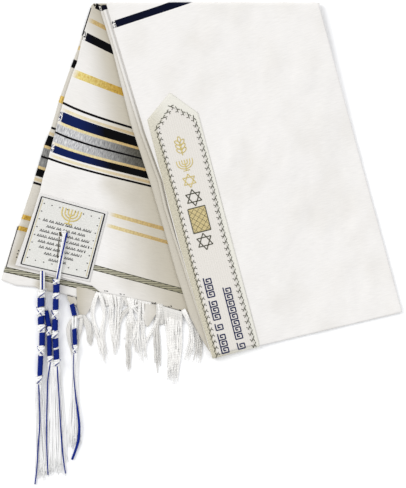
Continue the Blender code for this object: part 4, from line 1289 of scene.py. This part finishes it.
class NeckBand(bpy.types.Operator):
    """Makes the neck band with its vine border, motifs and fret rows"""

    bl_idname = "tallit.neck_band"
    bl_label = "Neck Band"

    def execute(self, context):
        self.make_band()
        self.make_panel()
        x = MOTIF_ACROSS
        gold = sprig((x, 294), 24) + lamp((x, 268), 22, 15) + star((x, 246), 9.5)
        left, right, foot, top = LATTICE_LEFT, LATTICE_RIGHT, LATTICE_FOOT, LATTICE_TOP
        frame_line = [(left, top), (right, top), (right, foot), (left, foot), (left, top)]
        dark = [*star((x, 222), 11.5), *star((x, 160), 11.5), frame_line]
        satin = [[(x, SATIN_FOOT), (x, SATIN_TOP)] for x in np.linspace(SATIN_LEFT, SATIN_RIGHT, 24)]
        keys = [line for row in KEY_ROWS for line in key_row(**row)]
        vine, lattice = self.vine(), self.lattice()
        lift = 0.75
        stitches = (
            dict(name="band_vine", lines=vine, lift=lift, radius=0.45, thread="olive thread"),
            dict(name="band_gold_motifs", lines=gold, lift=lift, radius=0.62, thread="gold thread"),
            dict(name="band_dark_motifs", lines=dark, lift=lift, radius=0.72, thread="olive thread"),
            dict(name="band_satin", lines=satin, lift=lift - 0.15, radius=0.62, thread="dull gold thread"),
            dict(name="band_lattice", lines=lattice, lift=lift + 0.2, radius=0.24, thread="olive thread"),
            dict(name="band_fret_rows", lines=keys, lift=lift, radius=0.82, thread="navy thread"),
        )
        for row in stitches:
            keep(strokes_piece(surface=on_band, **row), "band_cloth")
        return {"FINISHED"}

    def make_band(self):
        """The band's cloth, which turns down over the front arm's end."""
        foot_line = [BAND_LEFT[-1], BAND_RIGHT[-1]]
        places = fill_between(BAND_TOP, foot_line, BAND_LEFT, BAND_RIGHT, rows=110, columns=41)
        plan = band_plan(places)
        height = front_height(plan) + SHEET_WALL + 0.25
        last = places[-1]
        top, foot = height[-1], front_underside(plan[-1]) + FOLD_FOOT
        for angle in np.radians((40, 80, 120, 150)):
            ring = last - (0.0, BAND_FOLD * math.sin(angle))
            places = np.concatenate([places, ring[None]])
            level = (top + foot) / 2 + (top - foot) / 2 * math.cos(angle)
            height = np.concatenate([height, level[None]])
        finish = finish_of("band margin")
        band = sheet_piece("band_cloth", band_plan(places), height, places * MM, finish, SHEET_WALL)
        keep(band, "band_cloth", "neck_band")

    def make_panel(self):
        """The panel inside the vine."""
        panel = np.array(BAND_PANEL)
        left, right = panel[:6][::-1], panel[7:]
        places = fill_between(panel[5:8], [left[-1], right[-1]], left, right, rows=110, columns=31)
        plan = band_plan(places)
        height = front_height(plan) + 2 * SHEET_WALL + 0.3
        centre = sheet_piece("band_panel", plan, height, places * MM, finish_of("band cloth"), 0.3)
        keep(centre, "band_cloth")

    def vine(self):
        """Sprigs in a row round the panel."""
        panel = np.array(BAND_PANEL)
        steps = int(np.linalg.norm(np.diff(panel, axis=0), axis=1).sum() / VINE_STEP)
        middle = resample(panel, np.linspace(0, 1, steps + 1))
        ahead, beside = directions(middle)
        lines = []
        for k in range(steps + 1):
            for sprig_line in VINE_SPRIG:
                lines.append([middle[k] + a * beside[k] + b * ahead[k] for a, b in sprig_line])
        return lines

    def lattice(self):
        """Slanting lines both ways, cut off at the frame."""
        width = LATTICE_RIGHT - LATTICE_LEFT
        lines = []
        for k in range(-3, 7):
            for way in (1, -1):
                base = LATTICE_FOOT + LATTICE_PITCH * k
                across = np.linspace(0, width, 13)
                line = [(LATTICE_LEFT + x, base + way * x + (0 if way > 0 else width)) for x in across]
                inside = [place for place in line if LATTICE_FOOT <= place[1] <= LATTICE_TOP]
                if len(inside) > 1:
                    lines.append(inside)
        return lines


class CornerPatch(bpy.types.Operator):
    """Makes the corner patch with its border, dots, lamp, stitch rows and eyelet"""

    bl_idname = "tallit.corner_patch"
    bl_label = "Corner Patch"

    def execute(self, context):
        width, tall = PATCH_SIZE
        self.make_layer("patch_hem", PATCH_MARGIN, PATCH_LIFT, "hem cloth", "back_cloth")
        self.make_layer("patch_cloth", 0.5, PATCH_LIFT + 0.45, "patch cloth", "patch_hem", "corner_patch")
        sides = [[(0, 0), (0, 1)], [(1, 0), (1, 1)]]
        ends = [[(0, 0), (1, 0)], [(0, 1), (1, 1)]]
        inner = [[(x, 0.03), (x, 0.97)] for x in (0.032, 0.968)]
        gold = [[(x / width, y / tall) for x, y in line] for line in lamp((47, 76), 27, 20)]
        stitches = (
            dict(name="patch_border_sides", lines=sides, radius=0.95, thread="dark thread", flat=0.4),
            dict(name="patch_border_ends", lines=ends, radius=0.6, thread="dark thread", flat=0.5),
            dict(name="patch_gold_lines", lines=inner, radius=0.3, thread="gold thread"),
            dict(name="patch_dots", lines=self.dots(), radius=0.62, thread="dark thread"),
            dict(name="patch_lamp", lines=gold, radius=0.92, thread="gold thread"),
            dict(name="patch_stitch_rows", lines=self.stitch_rows(), radius=0.34, thread="dark thread"),
        )
        for row in stitches:
            keep(strokes_piece(surface=on_patch, lift=0.15, **row), "patch_cloth")
        self.make_eyelet()
        return {"FINISHED"}

    def make_layer(self, name, margin, lift, finish, below, *nodes):
        """One layer of the patch, with a margin round its dark border. The hem flares at the lower left."""
        width, tall = PATCH_SIZE
        side, end = margin / width, margin / tall
        s, t = np.linspace(-side, 1 + side, 60), np.linspace(1 + end, -end, 60)
        places = np.stack(np.meshgrid(s, t), axis=-1)
        if name == "patch_hem":
            low_left = np.clip(1 - places[..., 1], 0, 1) * np.clip(1 - 3 * places[..., 0], 0, 1)
            places[..., 0] -= PATCH_FLARE / width * low_left
        plan = patch_plan(places)
        height = back_height(plan) + SHEET_WALL + lift
        place = places * (width * MM, tall * MM)
        patch = sheet_piece(name, plan, height, place, finish_of(finish), PATCH_WALL / 2)
        keep(patch, "patch_cloth", *nodes)

    def dots(self):
        """Small dashes just inside the border."""
        steps = np.linspace(0, 1, 8)
        dots = [(mix(0.067, 0.933, step), DOTS_TOP) for step in steps]
        dots += [(x, mix(DOTS_TOP, 0.105, step)) for x in (DOTS_LEFT, DOTS_RIGHT) for step in steps[1:]]
        dots += [(mix(DOTS_LEFT, DOTS_RIGHT, step), DOTS_FOOT) for step in steps[1:-1]]
        return [[(x - 0.007, y), (x, y + 0.006), (x + 0.008, y)] for x, y in dots]

    def stitch_rows(self):
        """Rows of zigzag stitches in short groups, over a line."""
        width = PATCH_SIZE[0]
        rng = np.random.default_rng(11)
        lines = []
        for row in PATCH_ROWS:
            at, last = 0.5 - row["half"], 0.5 + row["half"]
            while at < last:
                stitches = int(rng.integers(4, 9))
                end = min(at + stitches * STITCH / width, last)
                across = np.linspace(at, end, stitches + 1)
                lines.append([(x, row["up"] + (0.018 if k % 2 else -0.018)) for k, x in enumerate(across)])
                lines.append([(at, row["up"] - 0.012), (end, row["up"] - 0.012)])
                at = end + 0.022
        return lines

    def make_eyelet(self):
        """The ring that the cords come out of, the hole under it as a disc of painted shade, and a line of
        painted shadow beside the cords.
        """
        x, y = EYELET
        turn = np.linspace(0, 2 * math.pi, 25)
        base = float(patch_top(np.array(EYELET)))
        level = np.full_like(turn, base + 0.3)
        ring = np.stack([x + 2.6 * np.cos(turn), y + 2.2 * np.sin(turn), level], axis=1)
        eyelet = tubes_piece("patch_eyelet", [dict(path=ring, radius=0.9)], finish_of("white cord"))
        keep(eyelet, "patch_cloth")
        # The dark disc by the eyelet and the brown line beside the cords are painted shadow on the patch
        hole = np.array([(x - 5.4, y + 1.0, base + 0.1), (x - 4.6, y - 4.5, base + 0.1)])
        cord_shadow = resample(PAINTED_CORD_SHADOW, np.linspace(0, 1, 12))
        height = patch_top(cord_shadow) + 0.1
        dark = [
            dict(path=hole, radius=1.8, flat=0.12),
            dict(path=in_space(cord_shadow, height), radius=0.75, flat=0.3),
        ]
        keep(tubes_piece("patch_painted_shadows", dark, finish_of("painted shadow brown"), 12), "patch_cloth")


class Tassels(bpy.types.Operator):
    """Makes the four tassels with wound and knotted heads, and the cords that run over the patch"""

    bl_idname = "tallit.tassels"
    bl_label = "Tassels"

    def execute(self, context):
        for number, (name, tassel) in enumerate(TASSELS.items()):
            self.make_tassel(number, name, tassel)
        self.make_cords()
        return {"FINISHED"}

    def make_cords(self):
        """The cords that run over the patch, from its hole to the head of the tassel below."""
        shares = np.linspace(0, 1, CORD_POINTS)
        path = resample([(EYELET[0] + 2.0, EYELET[1]), CORDS_END], shares)
        base = patch_top(path)
        height = base + 1.5 + 1.6 * np.sin(np.linspace(0, math.pi, CORD_POINTS))
        height[0] = base[0] - 0.2
        whites = []
        for offset, radius in ((-1.9, 1.4), (1.9, 1.3), (0.1, 1.0)):
            whites.append(dict(path=in_space(path + (offset, offset * 0.2), height), radius=radius))
        piece = tubes_piece("tassel_cords_white", whites, finish_of("white cord"), 8)
        keep(piece, "white_thread", "tassel_cords")
        across = np.linspace(2.3, -1.4, CORD_POINTS)
        navy = in_space(path + np.stack([across, np.zeros(CORD_POINTS)], axis=1), height + 1.35)
        thick = np.interp(shares, (0, 0.3, 0.6, 1), (1.3, 1.15, 0.85, 1.15))
        piece = tubes_piece("tassel_cord_navy", [dict(path=navy, radius=thick)], finish_of("navy cord"), 8)
        keep(piece, "wound_thread")

    def make_tassel(self, number, name, tassel):
        """One tassel: its head from the top down, then its free strands, with fibres that come off them."""
        rng = np.random.default_rng(40 + number)
        levels = np.array(tassel["heights"], float)[::-1]
        navy_tubes, white_tubes = [], []
        previous_x = tassel["head"][0][3]
        for part, (kind, top, foot, x, half) in enumerate(tassel["head"]):
            ys = np.linspace(top, foot, 7)
            zs = np.interp(ys, levels[:, 0], levels[:, 1])
            zs = np.maximum(zs, half + 0.5)
            xs = mix(previous_x, x, np.linspace(0.25, 1, 7))
            previous_x = x
            path = np.stack([xs, ys, zs], axis=1)
            if kind == "wound":
                windings = coil(path, half - CORD_RADIUS, CORD_RADIUS, CORD_PITCH, number + part, CORD_TILT)
                navy_tubes += [windings, dict(path=path[1:-1], radius=half - WINDING_DEPTH)]
            elif kind in ("cord", "loose"):
                for offset in (-0.8, 0.8):
                    white_tubes.append(dict(path=path + (offset * half, 0, 0), radius=half * 0.55))
                if kind == "cord":
                    navy_tubes.append(dict(path=path + (0.2, 0, half * 0.5), radius=half * 0.34))
            else:
                belly = [0.86, 1.0, 1.0, 0.84] if kind == "knot" else [0.95, 0.95]
                cord = KNOT_CORD_RADIUS if kind == "knot" else RING_CORD_RADIUS
                loops = coil(path, np.array(belly) * (half - cord), cord, 2 * cord, number + part)
                white_tubes += [loops, dict(path=path, radius=half - KNOT_DEPTH)]
                if kind == "knot":
                    white_tubes += self.crossing(path, half, part)
                    navy_tubes.append(self.navy_crossing(path, half, 1 if (part + number) % 4 < 2 else -1))
        begin, end, left, right = tassel["strands"]
        x, z = previous_x, float(np.interp(begin, levels[:, 0], levels[:, 1]))
        half = tassel["head"][-1][4]
        for k in range(WHITE_STRANDS):
            place = (k + 0.5) / WHITE_STRANDS * 2 - 1 + rng.uniform(-0.08, 0.08)
            tip = (mix(left, right, (place + 1) / 2), mix(begin, end, rng.uniform(0.84, 1.0)))
            shares = np.linspace(0, 1, 26)
            swing, turns, first = rng.uniform(0.6, 1.7), rng.uniform(4, 9), rng.uniform(0, 6)
            wave = swing * np.sin(shares * turns + first) * smooth(shares * 4)
            xs = mix(x + place * (half - 1.0), tip[0], smooth(shares * 1.1)) + wave
            ys = mix(begin + 1.0, tip[1], shares)
            thick = STRAND_RADIUS * rng.uniform(0.8, 1.15)
            rest = 0.7 * thick + 0.3 + (k % 3) * 0.6
            zs = mix(z + (1 if k % 2 else -1) * 0.3 * half, rest, smooth(shares * 4))
            radius = np.interp(shares, [0, 0.82, 1], [thick, thick, thick * 0.35])
            line = np.stack([xs, ys, zs], axis=1)
            white_tubes.append(dict(path=line, radius=radius, flat=0.7))
            for _ in range(FIBRES):
                root = line[int(rng.integers(15, 23))]
                drop = rng.uniform(0.6, 1.0) * (root[1] - tip[1]) + 2
                away = rng.uniform(-3.2, 3.2)
                steps = np.linspace(0, 1, 8)
                sideways = away * steps ** 1.4 + 0.5 * np.sin(steps * 7 + away)
                down = (0.5 - root[2]) * steps + rng.uniform(0, 1.5) * steps
                fibre = root + np.stack([sideways, -drop * steps, down], axis=1)
                white_tubes.append(dict(path=fibre, radius=FIBRE_RADIUS))
        shares = np.linspace(0, 1, 30)
        line = smooth_path(tassel["navy"], 30)
        zs = mix(z + 1.0, NAVY_STRAND_RADIUS + 2.4, smooth(shares * 3))
        zs = mix(zs, NAVY_STRAND_RADIUS + 0.4, smooth((shares - 0.7) / 0.3))
        radius = tassel.get("navy_radius", (NAVY_STRAND_RADIUS,))
        radius = np.interp(shares, np.linspace(0, 1, len(radius)), radius)
        navy_tubes.append(dict(path=in_space(line, zs + 0.6), radius=radius))
        keep(tubes_piece(name + "_white", white_tubes, finish_of("white cord"), 7), "white_thread")
        keep(tubes_piece(name + "_navy", navy_tubes, finish_of("navy cord"), 7), "wound_thread", name)

    def navy_crossing(self, path, half, way):
        """One thin navy cord that goes slantwise over a knot, from the winding above to the winding below."""
        turn = np.linspace(0.06 * math.pi, 0.62 * math.pi, 9)
        ys = mix(path[0, 1], path[-1, 1], np.linspace(0.0, 0.95, 9))
        x = path[3, 0] + way * (half + 0.2) * np.cos(turn)
        z = path[3, 2] + (half + 0.9) * np.sin(turn)
        return dict(path=np.stack([x, ys, z], axis=1), radius=0.62)

    def crossing(self, path, half, part):
        """Cords that cross the face of a knot, one over the other."""
        lines = []
        for way in (1, -1):
            turn = np.linspace(0.15 * math.pi, 0.85 * math.pi, 9)
            ys = mix(path[0, 1], path[-1, 1], np.linspace(0.12, 0.88, 9))
            x = path[3, 0] + way * half * 0.95 * np.cos(turn)
            z = path[3, 2] + (half + 0.5 + 0.3 * way) * np.sin(turn)
            lines.append(dict(path=np.stack([x, ys, z], axis=1), radius=1.1))
        return lines if part % 2 else lines[:1]


class Fringe(bpy.types.Operator):
    """Makes the knotted fringe along the hem, and the dark specks over it"""

    bl_idname = "tallit.fringe"
    bl_label = "Fringe"

    def execute(self, context):
        rng = np.random.default_rng(7)
        upper, lower = [], []
        for number, bundle in enumerate(FRINGE):
            # Deeper strands get the cord colour in painted shade
            dull = bundle.get("dull", number % 4 == 3)
            (lower if dull else upper).extend(self.bundle_strands(bundle, rng))
        for gather in GATHERS:
            start, end = np.array(gather["start"], float), np.array(gather["end"], float)
            for k in range(gather["count"]):
                root = mix(start, end, (k + 0.5) / gather["count"])
                drop = gather["drop"] * rng.uniform(0.75, 1.1)
                middle = root + (rng.uniform(-1, 1), -drop / 2)
                tip = root + (rng.uniform(-2, 2), -drop)
                line = smooth_path([root, middle, tip], GATHER_POINTS)
                path = in_space(line, np.linspace(*GATHER_HEIGHTS, GATHER_POINTS))
                # Long gathers lie deeper and get the cord colour in painted shade
                layer = lower if gather["drop"] > LONG_GATHER else upper
                layer.append(dict(path=path, radius=1.6, flat=0.4))
        piece = tubes_piece("fringe_upper_strands", upper, finish_of("fringe cord"), 5)
        keep(piece, "white_thread", "fringe_upper")
        piece = tubes_piece("fringe_lower_strands", lower, finish_of("painted shade cord"), 5)
        keep(piece, "white_thread", "fringe_lower")
        specks = []
        for x, y in HEM_SPECKS:
            for k in range(3):
                root = np.array((x + rng.uniform(-3.5, 3.5), y + rng.uniform(-0.8, 0.8)))
                line = np.array([root, root + (1.4, -0.5)])
                path = in_space(line, back_height(line) + SHEET_WALL + 0.15)
                specks.append(dict(path=path, radius=0.55, flat=0.6))
        keep(tubes_piece("hem_specks", specks, finish_of("dark thread")), "white_cloth")
        return {"FINISHED"}

    def bundle_strands(self, bundle, rng):
        """Strands that run together along one path."""
        shares = np.linspace(0, 1, STRAND_POINTS)
        centre = smooth_path(bundle["path"], STRAND_POINTS)
        beside = directions(centre)[1]
        spread = np.interp(shares, np.linspace(0, 1, len(bundle["spread"])), bundle["spread"])
        along = lengths_along(centre)
        hem = bundle.get("hem", HEM_HEIGHT)
        start = hem + (HEM_RAISE if hem == HEM_HEIGHT else 0)
        tubes = []
        for _ in range(int(bundle["count"] * STRANDS_FOR_EACH)):
            place = rng.uniform(-1, 1)
            wave = 0.9 * np.sin(shares * rng.uniform(5, 14) + rng.uniform(0, 6)) * smooth(shares * 4)
            line = centre + beside * (place * spread + wave)[:, None]
            rest = 0.9 + rng.uniform(0, 1.9) * (1 - 0.5 * shares)
            height = mix(start, rest, smooth((along - 2) / 30))
            kept = STRAND_POINTS - int(rng.uniform(0, 5))
            radius = rng.uniform(0.5, 0.9) * bundle.get("thick", 1.0)
            radius = radius * np.interp(np.arange(kept), [kept - 7, kept - 1], [1.0, 0.35])
            tubes.append(dict(path=in_space(line, height)[:kept], radius=radius, flat=0.75))
        return tubes


class Stage(bpy.types.Operator):
    """Makes the camera, the floor and the lights"""

    bl_idname = "tallit.stage"
    bl_label = "Stage"

    def execute(self, context):
        scene = context.scene
        camera = bpy.data.objects.new("camera", bpy.data.cameras.new("camera"))
        scene.collection.objects.link(camera)
        scene.camera = camera
        camera.data.lens = VIEW_LENS
        camera.data.sensor_width = SENSOR
        height = PHOTO_HEIGHT * MM_PER_PIXEL * VIEW_LENS / SENSOR
        camera.location = (VIEW_CENTRE[0] * MM, VIEW_CENTRE[1] * MM, (height + CAMERA_ABOVE) * MM)

        floor_mesh = bpy.data.meshes.new("floor")
        half = FLOOR_HALF
        corners = [(-half, -half, 0), (half, -half, 0), (half, half, 0), (-half, half, 0)]
        floor_mesh.from_pydata(corners, [], [(0, 1, 2, 3)])
        floor = bpy.data.objects.new("floor", floor_mesh)
        finish, tree, shader = new_material("floor")
        set_inputs(tree, shader, {"Base Color": (*FLOOR_COLOUR, 1), "Roughness": 0.9})
        floor_mesh.materials.append(finish)
        scene.collection.objects.link(floor)

        world = bpy.data.worlds.new("studio")
        world.use_nodes = True
        background = world.node_tree.nodes["Background"]
        set_inputs(world.node_tree, background, {"Color": (*SKY_COLOUR, 1), "Strength": SKY_POWER})
        scene.world = world
        for source in LIGHTS:
            data = bpy.data.lights.new(source["name"], "SUN")
            data.angle = math.radians(source["softness"])
            data.energy, data.color = source["power"], source["colour"]
            light = bpy.data.objects.new(source["name"], data)
            light.location = source["comes_from"]
            light.rotation_euler = (-Vector(source["comes_from"])).to_track_quat("-Z", "Y").to_euler()
            scene.collection.objects.link(light)
        scene.view_settings.view_transform = "Standard"
        return {"FINISHED"}


def colour_setting(name, description, default):
    values = dict(default=default, subtype="COLOR", min=0, max=1)
    return FloatVectorProperty(name=name, description=description, **values)


class TallitSettings(bpy.types.PropertyGroup):
    """Colours and sizes that a user may change before the pieces are made"""

    white_cloth: colour_setting("White cloth", "Ground of the shawl", (0.80, 0.78, 0.755))
    # Painted shade for the white ground
    white_painted_shade: colour_setting("White in painted shade", "Painted shade on the ground where it dips under a fold", (0.50, 0.46, 0.375))
    navy_yarn: colour_setting("Navy yarn", "Dark blue stripes", (0.004, 0.012, 0.075))
    black_yarn: colour_setting("Black yarn", "Thin dark stripes", (0.001, 0.001, 0.0015))
    grey_light: colour_setting("Light grey yarn", "Lighter threads of heather stripes", (0.75, 0.745, 0.735))
    grey_yarn: colour_setting("Grey yarn", "Darker threads of heather stripes", (0.27, 0.27, 0.285))
    # Painted shade for the threads of heather stripes
    grey_light_painted_shade: colour_setting("Light grey in painted shade", "Painted shade on the lighter threads where the cloth dips under a fold",
                                (0.105, 0.10, 0.08))
    grey_dark_painted_shade: colour_setting("Dark grey in painted shade", "Painted shade on the darker threads where the cloth dips under a fold",
                               (0.035, 0.032, 0.024))
    gold: colour_setting("Gold", "Metal thread", (0.76, 0.68, 0.28))
    gold_stitches: colour_setting("Gold stitches", "Embroidered lamps, star and sprig", (0.68, 0.55, 0.19))
    # Darker metal thread, which is also the painted shade of the lighter metal thread
    gold_dark_and_painted_shade: colour_setting("Dark gold", "Darker metal thread, and painted shade on the lighter one", (0.55, 0.345, 0.06))
    # Painted shade for metal thread
    gold_painted_shade: colour_setting("Dull gold", "Painted shade on metal thread where it dips under a fold", (0.27, 0.145, 0.018))
    dull_gold: colour_setting("Lattice gold", "Lattice of the neck band", (0.66, 0.55, 0.28))
    olive_thread: colour_setting("Olive thread", "Outlines of the neck band's motifs", (0.085, 0.082, 0.057))
    braid_ground: colour_setting("Braid ground", "Between the braid's dark threads", (0.56, 0.54, 0.42))
    # Painted shade for the braid
    braid_painted_shade: colour_setting("Braid in painted shade", "Painted shade on the braid where it dips under a fold", (0.42, 0.385, 0.26))
    band_cloth: colour_setting("Band cloth", "Ground of the neck band", (0.765, 0.73, 0.675))
    band_margin: colour_setting("Band margin", "Edge of the neck band", (0.82, 0.80, 0.72))
    # Painted shade for the neck band's left margin
    band_margin_painted_shade: colour_setting("Band margin in painted shade", "Painted shade along the left edge of the neck band", (0.66, 0.615, 0.48))
    patch_cloth: colour_setting("Patch cloth", "Ground of the corner patch", (0.82, 0.81, 0.765))
    white_cord: colour_setting("White cord", "Fringe and tassel cords", (0.94, 0.935, 0.92))
    fringe_cord: colour_setting("Fringe cord", "Fringe where it shows most", (0.96, 0.94, 0.905))
    # Painted shade for the fringe that lies deeper
    painted_shade_cord: colour_setting("Dull cord", "Painted shade on fringe where it lies deeper", (0.77, 0.75, 0.71))
    navy_cord: colour_setting("Navy cord", "Wound cord of the tassels", (0.0045, 0.024, 0.275))
    # Painted shadow beside the patch's eyelet and cords
    painted_shadow_brown: colour_setting("Brown thread", "Painted shadow beside the patch's eyelet and cords", (0.07, 0.055, 0.03))
    dark_thread: colour_setting("Dark thread", "Borders of the patch", (0.02, 0.02, 0.025))
    selvage: FloatProperty(
        name="Selvage", description="Width of the cloth's left edge, where dark yarn turns back",
        default=0.0042, min=0.001, max=0.02, unit="LENGTH"
    )
    threads_per_metre: FloatProperty(
        name="Threads per metre", description="How fine the weave is", default=1250.0, min=200.0, max=5000.0
    )


class TallitPanel(bpy.types.Panel):
    """The pieces of the shawl, in the order in which they are made"""

    bl_idname = "VIEW3D_PT_tallit"
    bl_label = "Tallit"
    bl_space_type = "VIEW_3D"
    bl_region_type = "UI"
    bl_category = "Tallit"

    def draw(self, context):
        column = self.layout.column()
        for operator in OPERATORS:
            column.operator(operator.bl_idname)
        for name in TallitSettings.__annotations__:
            column.prop(context.scene.tallit, name)


OPERATORS = (Stage, BackArm, FrontArm, NeckBand, CornerPatch, Tassels, Fringe)
CLASSES = (TallitSettings, *OPERATORS, TallitPanel)


def register():
    for cls in CLASSES:
        bpy.utils.register_class(cls)
    bpy.types.Scene.tallit = PointerProperty(type=TallitSettings)


def unregister():
    del bpy.types.Scene.tallit
    for cls in reversed(CLASSES):
        bpy.utils.unregister_class(cls)


def main():
    register()
    bpy.ops.tallit.stage()
    bpy.ops.tallit.back_arm()
    bpy.ops.tallit.front_arm()
    bpy.ops.tallit.neck_band()
    bpy.ops.tallit.corner_patch()
    bpy.ops.tallit.tassels()
    bpy.ops.tallit.fringe()


if __name__ == "__main__":
    main()
